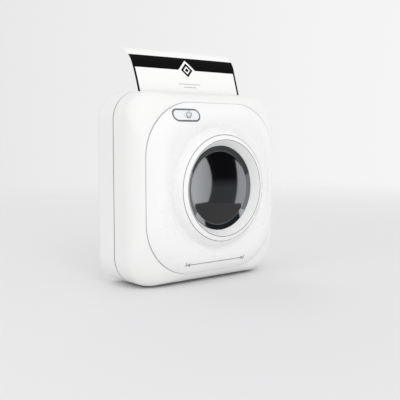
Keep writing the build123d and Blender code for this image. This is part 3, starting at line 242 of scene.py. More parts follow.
reflected_card("left_strip", turn=strip_turn, distance=0.25, sides=(-0.075, -0.0126), heights=(0.0055, 0.073),
               axis="X", glow_from=(-0.045, 8.8), glow_to=(-0.0126, 4.9), bows=(0.0, 8.3), slant=0.125)
reflected_card("black_strip", turn=strip_turn, distance=0.255, sides=(-0.1, 0.12), heights=(card_foot, 0.2),
               axis="Z", glow_from=(0.036, 0.0), glow_to=(0.022, 0.62))
reflected_card("right_strip", turn=strip_turn, distance=0.25, sides=(0.0335, 0.085),
               heights=(card_foot, 0.067), axis="X", glow_from=(0.03, 5.0), glow_to=(0.07, 6.0),
               bows=(4.5, 0.0))
reflected_card("left_wing", turn=16, distance=0.25, sides=(-0.045, 0.038), heights=(card_foot, 0.12),
               axis="Z", glow_from=(card_foot, 3.6), glow_to=(0.12, 4.6))
reflected_card("right_wing", turn=65, distance=0.252, sides=(-0.06, 0.055), heights=(card_foot, 0.05),
               axis="X", glow_from=(-0.04, 2.1), glow_to=(0.04, 2.8))


# The front housing and the rear cover are glossy white mouldings that meet at the seam down the sides.
# They have a fine skin from their mould and a faint waviness, and their seams are painted darker as painted
# shade for the shadow in the gaps.
def new_group(name, inputs, outputs):
    """A shader node group with named sockets: its tree, and the sockets of its inputs and outputs."""
    tree = bpy.data.node_groups.new(name, "ShaderNodeTree")
    for label, value in inputs.items():
        kind = "NodeSocketVector" if isinstance(value, tuple) else "NodeSocketFloat"
        tree.interface.new_socket(name=label, in_out="INPUT", socket_type=kind).default_value = value
    for label, kind in outputs.items():
        tree.interface.new_socket(name=label, in_out="OUTPUT", socket_type=kind)
    return tree, tree.nodes.new("NodeGroupInput").outputs, tree.nodes.new("NodeGroupOutput").inputs


skin_group, skin_in, skin_out = new_group(
    "moulded_skin",
    {"Grain Size": 0.0003, "Grain Depth": 0.000002, "Wave Depth": 0.00001, "Roughness": 0.3, "Spread": 0.05},
    {"Normal": "NodeSocketVector", "Roughness": "NodeSocketFloat"})
wave_scale = 70.0
touch_scale = 45.0
place = new_node(skin_group, "ShaderNodeTexCoord").outputs["Object"]
grain_scale = math_node(skin_group, "DIVIDE", 1.0, skin_in["Grain Size"])
grain = new_node(skin_group, "ShaderNodeTexNoise", {"Vector": place, "Scale": grain_scale, "Detail": 2.0})
wave = new_node(skin_group, "ShaderNodeTexNoise", {"Vector": place, "Scale": wave_scale, "Detail": 1.0})
wave_bump = new_node(skin_group, "ShaderNodeBump",
                     {"Height": wave.outputs["Fac"], "Distance": skin_in["Wave Depth"]})
grain_bump = new_node(skin_group, "ShaderNodeBump",
                      {"Height": grain.outputs["Fac"], "Distance": skin_in["Grain Depth"],
                       "Normal": wave_bump.outputs["Normal"]})
touch = new_node(skin_group, "ShaderNodeTexNoise", {"Vector": place, "Scale": touch_scale, "Detail": 5.0})
shift = math_node(skin_group, "SUBTRACT", touch.outputs["Fac"], 0.5)
spread = math_node(skin_group, "MULTIPLY_ADD", shift, skin_in["Spread"], skin_in["Roughness"])
skin_group.links.new(grain_bump.outputs["Normal"], skin_out["Normal"])
skin_group.links.new(spread, skin_out["Roughness"])

band_group, band_in, band_out = new_group(
    "band_mask", {"Place": 0.0, "From": 0.0, "To": 0.001, "Edge": 0.00006}, {"Mask": "NodeSocketFloat"})
before = math_node(band_group, "SUBTRACT", band_in["From"], band_in["Edge"])
after = math_node(band_group, "ADD", band_in["To"], band_in["Edge"])
rise = map_range(band_group, band_in["Place"], before, band_in["From"])
fall = map_range(band_group, band_in["Place"], after, band_in["To"])
band_group.links.new(math_node(band_group, "MULTIPLY", rise, fall), band_out["Mask"])


def moulded(name, colour, roughness, grain_size=0.0003, grain_depth=0.000002, wave_depth=0.00001, spread=0.1):
    """A moulded plastic or rubber material with the mould's skin on it, its tree and its shader."""
    made, tree, shader = new_material(name, colour, roughness)
    skin = new_node(tree, "ShaderNodeGroup", node_tree=skin_group)
    for label, value in (("Grain Size", grain_size), ("Grain Depth", grain_depth), ("Wave Depth", wave_depth),
                         ("Roughness", roughness), ("Spread", spread)):
        skin.inputs[label].default_value = value
    tree.links.new(skin.outputs["Normal"], shader.inputs["Normal"])
    tree.links.new(skin.outputs["Roughness"], shader.inputs["Roughness"])
    return made, tree, shader


def object_place(tree):
    """Object coordinates and their separate X, Y and Z."""
    place = new_node(tree, "ShaderNodeTexCoord").outputs["Object"]
    return place, new_node(tree, "ShaderNodeSeparateXYZ", {"Vector": place}).outputs


def band(tree, place, start=-1.0, end=1.0, edge=0.00006):
    """A mask that is one where a place value lies between two others, which default to beyond the object."""
    inputs = {"Place": place, "From": start, "To": end, "Edge": edge}
    return new_node(tree, "ShaderNodeGroup", inputs, node_tree=band_group).outputs["Mask"]


def tint(tree, shader, colour, layers):
    """Give a shader one colour with others laid over it, each where its mask is."""
    result = (*colour, 1)
    for mask, over in layers:
        result = mix_colour(tree, mask, result, (*over, 1))
    tree.links.new(result, shader.inputs["Base Color"])


def finish(material, *names):
    """Give carried-over pieces their material."""
    for name in names:
        nodes[name].data.materials.clear()
        nodes[name].data.materials.append(material)


shell_colour = (0.88, 0.88, 0.875)
side_seam_y = (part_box("rear_cover")[0][1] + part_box("front_housing")[1][1]) / 2
side_seam_half = 0.00022
side_seam_painted_shade = (0.3, 0.3, 0.3)
panel_seam_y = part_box("front_housing")[0][1]
panel_seam_run = 0.001
panel_seam_edge = 0.00006
panel_seam_painted_shade = (0.4, 0.4, 0.4)
shell_white, tree, shader = moulded("shell_white", shell_colour, 0.32, grain_depth=0.000001)
_, parts = object_place(tree)
# Painted shade: a darker band down the side seam and along the housing's front edge at the panel seam, for
# the shadow in the gaps.
side_seam = band(tree, parts["Y"], side_seam_y - side_seam_half, side_seam_y + side_seam_half)
panel_seam = band(tree, parts["Y"], panel_seam_y - panel_seam_run, panel_seam_y + panel_seam_edge)
tint(tree, shader, shell_colour, [(side_seam, side_seam_painted_shade), (panel_seam, panel_seam_painted_shade)])
finish(shell_white, "front_housing", "rear_cover")

# The front panel is a soft pillow of white moulded plastic with a raised ring round the window.
# A skirt behind its rim holds it in the housing, and a thin seam is left all round it.
# A small double arrow, for the width of the paper, is pad-printed near its bottom.
window_z = sum(corner[2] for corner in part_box("window_bezel")) / 2
panel_low, panel_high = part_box("front_panel")
rim_half = panel_high[0]
rim_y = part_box("button_surround")[1][1]
rim_corner = 0.0227
pillow_run = 0.0095
pillow_rise = 0.0042
pillow_radius = (pillow_run**2 + pillow_rise**2) / (2 * pillow_rise)
flat_corner = 0.015
crest_radius = 0.0224
crest_rise = rim_y - pillow_rise - panel_low[1]
crest_slope = 0.25
flank_power = 1.8
valley_radius = 0.0252
valley_depth = 0.0012
valley_width = 0.0028
hole_radius = 0.0203
ring_seat_depth = 0.0021
ring_seat_y = panel_low[1] + ring_seat_depth
panel_wall = 0.0018
skirt_inset = 0.0024
skirt_wall = 0.0014
skirt_back_y = panel_high[1]
rim_start = 0.00021
rim_lip = 0.0004
crest_ease = 0.0002
crest_corners = ((0.0, 0.00025), (0.00006, 0.0001))
rim_corners = ((0.00004, -0.00012), (0.0, 0.0001), (0.0003, rim_lip), (skirt_inset, rim_lip))
outline_sides = 256
flat_steps = 26
pillow_steps = 20


def edge_reach(direction, half, corner):
    """How far a rounded square reaches from its middle along a unit direction."""
    across, up = abs(direction[0]), abs(direction[1])
    straight = half / max(across, up)
    if straight * min(across, up) <= half - corner:
        return straight
    middle = (half - corner) * (across + up)
    return middle + sqrt(middle**2 - 2 * (half - corner) ** 2 + corner**2)


def ring_height(radius):
    """How far the panel stands proud of its pillow: below it in a valley, then up to the ring's crest."""
    if radius >= valley_radius:
        share = min((radius - valley_radius) / valley_width, 1)
        return -valley_depth * (1 + cos(pi * share)) / 2
    share = (valley_radius - radius) / (valley_radius - crest_radius)
    height = crest_rise + valley_depth
    end = crest_slope * (valley_radius - crest_radius) / height
    soft = share**2 * (3 - end - (2 - end) * share)
    full = 1 - (1 - share) ** flank_power
    return height * (soft + full) / 2 - valley_depth


def pillow_place(direction, inward):
    """The panel's reach and depth where its pillow has come inward from the rim."""
    half = rim_half - inward
    corner = rim_corner + (flat_corner - rim_corner) * inward / pillow_run
    reach = edge_reach(direction, half, corner)
    rise = pillow_rise - pillow_radius + sqrt(pillow_radius**2 - (pillow_run - inward) ** 2)
    return reach, rim_y - rise - ring_height(reach)


def flat_place(direction, share):
    """The panel's reach and depth between the pillow's flat and the ring's crest."""
    outer = edge_reach(direction, rim_half - pillow_run, flat_corner)
    reach = outer + (crest_radius + crest_ease - outer) * share
    return reach, rim_y - pillow_rise - ring_height(reach)


def square_place(inset, y):
    """An outline parallel to the rim, drawn in by inset, at a depth."""
    return lambda direction: (edge_reach(direction, rim_half - inset, rim_corner - inset), y)


def circle_place(radius, y):
    """A circle round the window's middle at a depth."""
    return lambda direction: (radius, y)


def outline_mesh(name, places):
    """A closed piece through outlines round the window's middle, each a rule for reach and depth."""
    form = bmesh.new()
    bmesh.ops.create_circle(form, cap_ends=False, segments=outline_sides, radius=1.0)
    edges = list(form.edges)
    first = edges
    for step, place in enumerate(places):
        if step:
            made = bmesh.ops.extrude_edge_only(form, edges=edges)["geom"]
            edges = [item for item in made if isinstance(item, bmesh.types.BMEdge) and item.is_boundary]
        corners = {corner for edge in edges for corner in edge.verts}
        for corner in corners:
            if step:
                direction = Vector((corner.co.x, corner.co.z - window_z)).normalized()
            else:
                direction = Vector((corner.co.x, corner.co.y)).normalized()
            reach, y = place(direction)
            corner.co = (direction.x * reach, y, window_z + direction.y * reach)
    bmesh.ops.bridge_loops(form, edges=first + edges)
    bmesh.ops.recalc_face_normals(form, faces=form.faces)
    return new_piece(name, form)


def sharpen(mesh, angle=35):
    """Smooth shading with sharp edges where faces meet at more than an angle."""
    mesh.shade_smooth()
    mesh.set_sharp_from_angle(angle=radians(angle))


inner_face_y = rim_y - pillow_rise + panel_wall
places = [circle_place(hole_radius, inner_face_y),
          circle_place(hole_radius, ring_seat_y),
          circle_place(crest_radius, ring_seat_y)]
places += [circle_place(crest_radius + out, panel_low[1] + down) for out, down in crest_corners]
for step in range(flat_steps):
    share = 1 - step / flat_steps
    places.append(lambda direction, share=share: flat_place(direction, share))
for step in range(pillow_steps + 1):
    inward = rim_start + (pillow_run - rim_start) * (1 - step / pillow_steps)
    places.append(lambda direction, inward=inward: pillow_place(direction, inward))
places += [square_place(inset, rim_y + down) for inset, down in rim_corners]
places += [square_place(skirt_inset, skirt_back_y),
           square_place(skirt_inset + skirt_wall, skirt_back_y),
           square_place(skirt_inset + skirt_wall, rim_y - rim_lip),
           square_place(pillow_run, inner_face_y)]
panel = outline_mesh("panel_face", places)


def pill_form(name, low, high, front, back, margin=0.0):
    """A closed pill-shaped plug over a box's width and height, from a front depth to a back depth."""
    radius = (high[2] - low[2]) / 2 + margin
    middle_z = (high[2] + low[2]) / 2
    half_run = (high[0] - low[0]) / 2 + margin - radius
    middle_x = (high[0] + low[0]) / 2
    form = bmesh.new()
    bmesh.ops.create_circle(form, cap_ends=True, segments=96, radius=radius)
    for corner in form.verts:
        across, up = corner.co.x, corner.co.y
        side = half_run if across > 0 else -half_run
        corner.co = (middle_x + across + side, front, middle_z + up)
    made = bmesh.ops.extrude_face_region(form, geom=list(form.faces))["geom"]
    bmesh.ops.translate(form, verts=[item for item in made if isinstance(item, bmesh.types.BMVert)],
                        vec=(0, back - front, 0))
    bmesh.ops.recalc_face_normals(form, faces=form.faces)
    return new_piece(name, form)


surround_low, surround_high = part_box("button_surround")
cut_past = 0.002
seat_slack = 0.00002
cutter = pill_form("seat_cutter", surround_low, surround_high, surround_low[1] - cut_past,
                   skirt_back_y + cut_past, seat_slack)
cut = panel.modifiers.new("seat", "BOOLEAN")
cut.operation = "DIFFERENCE"
cut.solver = "EXACT"
cut.object = cutter
with bpy.context.temp_override(object=panel, active_object=panel, selected_objects=[panel]):
    bpy.ops.object.modifier_apply(modifier=cut.name)
bpy.data.objects.remove(cutter)
sharpen(panel.data)

panel_colour = (0.90, 0.90, 0.90)
panel_white, tree, shader = moulded("panel_white", panel_colour, 0.28, grain_depth=0.000001)
_, parts = object_place(tree)
mark_x = -0.00135
mark_z = 0.0095
mark_half = 0.016
mark_stroke = 0.00036
mark_tick = 0.0012
mark_front_y = -0.0146
mark_grey = (0.3, 0.3, 0.31)
arrowhead_length = 0.0018
arrowhead_slope = 0.45
rim_seam_run = 0.00016
rim_seam_painted_shade = (0.45, 0.45, 0.45)
across = math_node(tree, "ABSOLUTE", math_node(tree, "SUBTRACT", parts["X"], mark_x))
beside = math_node(tree, "ABSOLUTE", math_node(tree, "SUBTRACT", parts["Z"], mark_z))
from_tip = math_node(tree, "SUBTRACT", mark_half, across)
off_head = math_node(tree, "SUBTRACT", beside, math_node(tree, "MULTIPLY", from_tip, arrowhead_slope))
shaft = math_node(tree, "MULTIPLY", band(tree, across, end=mark_half),
                  band(tree, beside, end=mark_stroke / 2))
heads = math_node(tree, "MULTIPLY", band(tree, off_head, end=0.0),
                  band(tree, from_tip, 0.0, arrowhead_length))
ticks = math_node(tree, "MULTIPLY", band(tree, across, mark_half, mark_half + mark_stroke),
                  band(tree, beside, end=mark_tick))
mark = math_node(tree, "MAXIMUM", math_node(tree, "MAXIMUM", shaft, heads), ticks)
mark = math_node(tree, "MULTIPLY", mark, band(tree, parts["Y"], end=mark_front_y))
# Painted shade: the panel's rim by the seam is painted darker, for the shadow in the gap round it.
rim_seam = band(tree, parts["Y"], panel_seam_y - rim_seam_run)
tint(tree, shader, panel_colour, [(rim_seam, rim_seam_painted_shade), (mark, mark_grey)])
panel.data.materials.append(panel_white)
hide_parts("front_panel")
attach(panel, "housing")


# The window bezel is a turned ring of the same white plastic, pressed onto the panel's ledge.
# Its front slopes gently inwards to a crest with a fine groove, and a cone leads from there down to the lens.
def turned(name, outline):
    """A closed ring turned about the window's axis from an outline of radii and depths."""
    form = bmesh.new()
    corners = [form.verts.new((radius, y, window_z)) for radius, y in outline]
    edges = [form.edges.new((corners[index - 1], corners[index])) for index in range(len(corners))]
    bmesh.ops.spin(form, geom=corners + edges, cent=(0, 0, window_z), axis=(0, 1, 0), angle=2 * pi,
                   steps=outline_sides, use_merge=True)
    bmesh.ops.remove_doubles(form, verts=form.verts, dist=1e-7)
    bmesh.ops.recalc_face_normals(form, faces=form.faces)
    return new_piece(name, form)


bezel_seat_radius = 0.02228
bezel_crest_radius = 0.0201
bezel_brow_radius = 0.0206
bezel_brow_drop = 0.00013
bezel_recess = 0.00002
bezel_front_y = cad_low[1] + bezel_recess
bezel_flange_radius = 0.01872
bezel_back_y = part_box("window_bezel")[1][1]
lens_low, lens_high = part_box("window_lens")
lens_radius = 0.0178
lens_recess = 0.0006
lens_edge_y = lens_low[1] + lens_recess
bezel_lip = 0.00012
edge_corners = ((0.0, 0.0002), (-0.00005, 0.00005), (-0.0002, -0.00006))
groove_corners = ((0.00032, 0.00004), (0.00022, 0.0001), (0.0002, 0.0003), (0.00004, 0.0003),
                  (0.00002, 0.0001), (-0.00006, 0.00002), (-0.0002, 0.00008), (-0.00034, 0.00026))
cone_corners = ((0.0002, -0.00022), (0.00004, -0.00002), (0.0, bezel_lip))
bezel_outline = [(bezel_seat_radius, ring_seat_y)]
bezel_outline += [(bezel_seat_radius + out, panel_low[1] + down) for out, down in edge_corners]
bezel_outline.append((bezel_brow_radius, bezel_front_y + bezel_brow_drop))
bezel_outline += [(bezel_crest_radius + out, bezel_front_y + down) for out, down in groove_corners]
bezel_outline += [(lens_radius + out, lens_edge_y + down) for out, down in cone_corners]
bezel_outline += [(bezel_flange_radius, lens_edge_y + bezel_lip), (bezel_flange_radius, bezel_back_y),
                  (bezel_crest_radius, bezel_back_y), (bezel_crest_radius, ring_seat_y)]
bezel = turned("bezel_ring", bezel_outline)
sharpen(bezel.data, angle=50)


def axis_distance(tree, first, first_middle, second, second_middle):
    """How far a point lies from an axis that two of its coordinates are measured from."""
    offsets = {"X": math_node(tree, "SUBTRACT", first, first_middle),
               "Y": math_node(tree, "SUBTRACT", second, second_middle)}
    flat = new_node(tree, "ShaderNodeCombineXYZ", offsets).outputs["Vector"]
    return new_node(tree, "ShaderNodeVectorMath", {0: flat}, operation="LENGTH").outputs["Value"]


# Painted shade: the fine groove beside the crest and the bezel's outer edge where it meets the panel are
# painted darker, for the shadow in them.
groove_start = bezel_crest_radius + 0.00002
groove_end = bezel_crest_radius + 0.00024
groove_painted_shade = (0.25, 0.25, 0.25)
seat_line_start = bezel_seat_radius - 0.00006
seat_line_painted_shade = (0.35, 0.35, 0.35)
bezel_white, tree, shader = moulded("bezel_white", panel_colour, 0.28, grain_depth=0.000001)
_, parts = object_place(tree)
from_axis = axis_distance(tree, parts["X"], 0.0, parts["Z"], window_z)
tint(tree, shader, panel_colour, [(band(tree, from_axis, groove_start, groove_end), groove_painted_shade),
                                  (band(tree, from_axis, seat_line_start), seat_line_painted_shade)])
bezel.data.materials.append(bezel_white)
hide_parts("window_bezel")
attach(bezel, "housing")

# The lens is a dark glossy window, slightly domed, and a wide bevel leads down to it from its rim.
# A flange behind the bezel holds it. The paper roll inside hardly shows through it, so it reads as black.
bevel_width = 0.0023
bevel_depth = 0.0005
dome_edge = lens_radius - bevel_width
dome_radius = 0.2846
dome_depth = dome_radius - sqrt(dome_radius**2 - dome_edge**2)
dome_front_y = lens_edge_y + bevel_depth - dome_depth
lens_play = 0.00012
lens_rim = lens_radius - lens_play
bevel_foot = 0.00004
rim_chamfer = 0.00006
flange_y = lens_edge_y + bezel_lip
lens_flange_radius = 0.0186
lens_steps = 18
lens_outline = [(lens_flange_radius, lens_high[1]), (lens_flange_radius, flange_y), (lens_rim, flange_y),
                (lens_rim, lens_edge_y + rim_chamfer), (lens_rim - rim_chamfer, lens_edge_y),
                (dome_edge + bevel_foot, lens_edge_y + bevel_depth)]
for step in range(lens_steps):
    radius = dome_edge * (1 - step / lens_steps)
    lens_outline.append((radius, dome_front_y + dome_radius - sqrt(dome_radius**2 - radius**2)))
lens_outline += [(0.0, dome_front_y), (0.0, lens_high[1])]
lens = turned("lens_face", lens_outline)
sharpen(lens.data, angle=8)
lens_black = (0.004, 0.004, 0.005)
bevel_painted_light = (0.013, 0.015, 0.017)
edge_painted_highlight = (0.1, 0.11, 0.12)
edge_line_start = dome_edge - 0.00008
edge_line_end = dome_edge + 0.0001
dark_lens, tree, shader = moulded("dark_lens", lens_black, 0.04, grain_depth=0.0, wave_depth=0.000001,
                                  spread=0.02)
_, parts = object_place(tree)
from_axis = axis_distance(tree, parts["X"], 0.0, parts["Z"], window_z)
# Painted light: the bevel is painted lighter than the window, and a thin line at its inner edge lighter
# still, as a painted highlight.
tint(tree, shader, lens_black, [(band(tree, from_axis, edge_line_end), bevel_painted_light),
                                (band(tree, from_axis, edge_line_start, edge_line_end), edge_painted_highlight)])
lens.data.materials.append(dark_lens)
window_group.objects.link(lens)
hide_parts("window_lens")
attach(lens, "housing")

# The power button is a pill of cool white plastic in a thin grey surround, with a small power sign.
# The sign is pad-printed, so it is a thin layer on the button's face and moves with it.
# The release button on the right side is moulded from the same plastic.
button_colour = (0.84, 0.85, 0.88)
finish(moulded("button_white", button_colour, 0.3)[0], "power_button", "release_button")
# The surround's dark grey is partly its own colour and partly painted shade, for the shadow in the gap round
# the button.
surround_tone_and_shade = (0.17, 0.175, 0.19)
finish(moulded("surround_plastic_and_shade", surround_tone_and_shade, 0.35)[0], "button_surround")
sign_x = -0.0169
sign_z = 0.0713
sign_radius = 0.00122
sign_stroke = 0.00036
sign_gap = 42
sign_steps = 40
sign_line = 0.00135
sign_line_z = 0.8 * sign_radius
ink_thickness = 0.00001
sign_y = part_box("power_button")[0][1] - ink_thickness
form = bmesh.new()
ends = [form.verts.new((sign_radius + side * sign_stroke / 2, 0, 0)) for side in (-1, 1)]
edge = form.edges.new(ends)
bmesh.ops.rotate(form, verts=ends, cent=(0, 0, 0), matrix=Matrix.Rotation(radians(sign_gap - 90), 3, "Y"))
bmesh.ops.spin(form, geom=ends + [edge], cent=(0, 0, 0), axis=(0, 1, 0), angle=radians(360 - 2 * sign_gap),
               steps=sign_steps)
line = bmesh.ops.create_grid(form, x_segments=1, y_segments=1, size=0.5)["verts"]
bmesh.ops.scale(form, verts=line, vec=(sign_stroke, sign_line, 1))
bmesh.ops.rotate(form, verts=line, cent=(0, 0, 0), matrix=Matrix.Rotation(radians(90), 3, "X"))
bmesh.ops.translate(form, verts=line, vec=(0, 0, sign_line_z))
bmesh.ops.translate(form, verts=form.verts, vec=(sign_x, sign_y, sign_z))
bmesh.ops.recalc_face_normals(form, faces=form.faces)
sign = new_piece("power_sign", form)
sign_grey = (0.2, 0.2, 0.21)
sign.data.materials.append(moulded("sign_ink", sign_grey, 0.45)[0])
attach(sign, "power_key")

# Two strips of grey rubber under the body are its feet, with the fine matt texture of cast rubber.
# The chassis, the cover's liner and the gear cover are dark mouldings with a coarser spark-eroded skin.
foot_grey = (0.1, 0.1, 0.11)
foot_rubber = moulded("foot_rubber", foot_grey, 0.72, grain_size=0.0002, grain_depth=0.00001,
                      wave_depth=0.00002, spread=0.2)[0]
finish(foot_rubber, "front_foot", "rear_foot")
inner_grey = (0.1, 0.105, 0.115)
dust_grey = (0.3, 0.3, 0.3)
dust_scale = 120.0
dust_start = 0.55
dust_full = 0.9
dust_most = 0.35
inner_plastic, tree, shader = moulded("inner_plastic", inner_grey, 0.5, grain_size=0.0004,
                                      grain_depth=0.00001, wave_depth=0.00002, spread=0.25)
place, _ = object_place(tree)
dust = new_node(tree, "ShaderNodeTexNoise", {"Vector": place, "Scale": dust_scale, "Detail": 6.0})
dust = map_range(tree, dust.outputs["Fac"], dust_start, dust_full, last=dust_most)
tint(tree, shader, inner_grey, [(dust, dust_grey)])
finish(inner_plastic, "chassis", "cover_liner", "gear_cover")

# The shafts, pins and springs are bright drawn or turned steel, and the motor's can is drawn and plated.
# Their fine lines run round them. The tear bar and the socket are stamped, with lines along them.
brush_group, brush_in, brush_out = new_group(
    "brushed_lines", {"Stretch": (1.0, 1.0, 1.0), "Depth": 0.000002, "Roughness": 0.3, "Spread": 0.2},
    {"Normal": "NodeSocketVector", "Roughness": "NodeSocketFloat"})
place = new_node(brush_group, "ShaderNodeTexCoord").outputs["Object"]
stretched = new_node(brush_group, "ShaderNodeVectorMath", {0: place, 1: brush_in["Stretch"]},
                     operation="MULTIPLY")
lines = new_node(brush_group, "ShaderNodeTexNoise", {"Vector": stretched.outputs["Vector"], "Scale": 1.0,
                                                     "Detail": 3.0}).outputs["Fac"]
line_bump = new_node(brush_group, "ShaderNodeBump", {"Height": lines, "Distance": brush_in["Depth"]})
shift = math_node(brush_group, "SUBTRACT", lines, 0.5)
spread = math_node(brush_group, "MULTIPLY_ADD", shift, brush_in["Spread"], brush_in["Roughness"])
brush_group.links.new(line_bump.outputs["Normal"], brush_out["Normal"])
brush_group.links.new(spread, brush_out["Roughness"])


def brushed(name, colour, roughness, stretch, depth=0.000003, spread=0.25, metallic=1.0):
    """A material with fine lines on it, closest along the axis with the largest stretch."""
    made, tree, shader = new_material(name, colour, roughness, metallic)
    lines = new_node(tree, "ShaderNodeGroup", node_tree=brush_group)
    for label, value in (("Stretch", stretch), ("Depth", depth), ("Roughness", roughness),
                         ("Spread", spread)):
        lines.inputs[label].default_value = value
    tree.links.new(lines.outputs["Normal"], shader.inputs["Normal"])
    tree.links.new(lines.outputs["Roughness"], shader.inputs["Roughness"])
    return made, tree, shader


round_lines = (9000.0, 300.0, 300.0)
long_lines = (300.0, 8000.0, 8000.0)
even_grain = (3000.0, 3000.0, 3000.0)
turned_grey = (0.62, 0.62, 0.63)
can_grey = (0.58, 0.58, 0.57)
stamped_grey = (0.64, 0.64, 0.65)
screw_grey = (0.42, 0.42, 0.43)
finish(brushed("turned_steel", turned_grey, 0.26, round_lines)[0], "cover_hinge_pin", "head_pivot_shaft",
       "idler_axle", "motor_shaft", "platen_shaft")
finish(brushed("motor_can", can_grey, 0.34, round_lines, depth=0.000004)[0], "stepper_motor")
finish(brushed("stamped_steel", stamped_grey, 0.28, long_lines)[0], "tear_bar", "usb_socket")
finish(brushed("screw_steel", screw_grey, 0.36, even_grain)[0], "board_screws", "button_board_screws",
       "chassis_screws", "gear_cover_screws", "liner_screws", "motor_screws")

# Two coil springs of wire press the head against the platen, and a third one returns the release button.
# Each stands on the chassis side of its travel.
spring_grey = (0.5, 0.5, 0.52)
wire_grain = (2000.0, 2000.0, 2000.0)
spring_steel = brushed("spring_steel", spring_grey, 0.3, wire_grain)[0]
wire_join = 0.000001
for name, node, joint, axis, keep in (
        ("head_coils", "head_springs", "head_pivot", (0, 1, 0), 0.85),
        ("release_coil", "release_spring", "release_press", (1, 0, 0), 0.8)):
    form = bmesh.new()
    form.from_mesh(nodes[node].data)
    bmesh.ops.remove_doubles(form, verts=form.verts, dist=wire_join)
    coils = new_piece(name, form)
    sharpen(coils.data)
    coils.data.materials.clear()
    coils.data.materials.append(spring_steel)
    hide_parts(node)
    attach(coils, "housing")
    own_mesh(coils)

# The gears, bushes and plunger are off-white acetal, slightly waxy, and the platen is black ground rubber.
# The grinding leaves fine lines round the platen, and paper dust dulls it in the middle.
acetal_white = (0.8, 0.79, 0.74)
acetal = moulded("acetal", acetal_white, 0.36, grain_size=0.0005, grain_depth=0.000003, spread=0.2)[0]
finish(acetal, "idler_gear", "motor_pinion", "platen_gear", "platen_bushes", "switch_plunger")
platen_black = (0.04, 0.04, 0.045)
paper_dust = (0.35, 0.35, 0.34)
grinding_lines = (6000.0, 500.0, 500.0)
paper_dust_scale = 600.0
dusty_half = 0.022
dusty_fade = 0.004
dust_cover = 0.3
platen_rubber, tree, shader = brushed("platen_rubber", platen_black, 0.7, grinding_lines, depth=0.00001,
                                      spread=0.3, metallic=0.0)
place, parts = object_place(tree)
dust = new_node(tree, "ShaderNodeTexNoise", {"Vector": place, "Scale": paper_dust_scale, "Detail": 4.0})
dusty = band(tree, math_node(tree, "ABSOLUTE", parts["X"]), end=dusty_half, edge=dusty_fade)
dusty = math_node(tree, "MULTIPLY", dust.outputs["Fac"], dusty)
dusty = math_node(tree, "MULTIPLY", dusty, dust_cover)
tint(tree, shader, platen_black, [(dusty, paper_dust)])
finish(platen_rubber, "platen_rubber")

# The print head is a strip of white ceramic on a sawn aluminium plate, its lines along the plate.
# A dark glazed band with the fine row of heaters runs along the ceramic, where the platen presses.
aluminium_grey = (0.75, 0.76, 0.77)
finish(brushed("head_aluminium", aluminium_grey, 0.33, long_lines, depth=0.000005)[0], "head_plate")
nip_z = sum(corner[2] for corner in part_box("platen_rubber")) / 2
ceramic_white = (0.8, 0.8, 0.78)
glaze_half = 0.0014
glaze_brown = (0.12, 0.09, 0.07)
heater_half = 0.0001
heater_tan = (0.5, 0.42, 0.3)
ceramic, tree, shader = moulded("ceramic", ceramic_white, 0.22, grain_size=0.0002, grain_depth=0.000001,
                                wave_depth=0.000002, spread=0.05)
_, parts = object_place(tree)
off_nip = math_node(tree, "ABSOLUTE", math_node(tree, "SUBTRACT", parts["Z"], nip_z))
tint(tree, shader, ceramic_white, [(band(tree, off_nip, end=glaze_half), glaze_brown),
                                   (band(tree, off_nip, end=heater_half), heater_tan)])
finish(ceramic, "head_ceramic")

# The head's flex cable is amber film over a comb of copper tracks that run its whole length.
# The battery's two leads are a red and a black one with soft glossy insulation.
film_amber = (0.45, 0.18, 0.03)
track_copper = (0.62, 0.3, 0.1)
track_pitch = 0.0009
track_start = 0.3
track_end = 0.7
track_soft = 0.06
flex_film, tree, shader = moulded("flex_film", film_amber, 0.25, grain_size=0.0006, wave_depth=0.00004)
_, parts = object_place(tree)
track = math_node(tree, "FRACT", math_node(tree, "DIVIDE", parts["X"], track_pitch))
tint(tree, shader, film_amber, [(band(tree, track, track_start, track_end, edge=track_soft), track_copper)])
finish(flex_film, "head_flex_cable")
leads_middle = sum(corner[2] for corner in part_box("battery_leads")) / 2
lead_red = (0.5, 0.03, 0.03)
lead_black = (0.02, 0.02, 0.02)
lead_skin, tree, shader = moulded("lead_skin", lead_red, 0.38, grain_size=0.0004)
_, parts = object_place(tree)
tint(tree, shader, lead_red, [(band(tree, parts["Z"], end=leads_middle), lead_black)])
finish(lead_skin, "battery_leads")

# The battery is a flat pouch cell in a blue wrap that creases over its ends, where amber tape holds it.
# Its wrap is a glossy film, so the creases show as soft highlights.
tape_width = 0.004
tape_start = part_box("battery")[1][0] - tape_width
wrap_blue = (0.16, 0.26, 0.48)
tape_amber = (0.55, 0.36, 0.08)
battery_wrap, tree, shader = moulded("battery_wrap", wrap_blue, 0.3, grain_size=0.0012, grain_depth=0.00003,
                                     wave_depth=0.00012)
_, parts = object_place(tree)
tape = band(tree, math_node(tree, "ABSOLUTE", parts["X"]), tape_start)
tint(tree, shader, wrap_blue, [(tape, tape_amber)])
finish(battery_wrap, "battery")

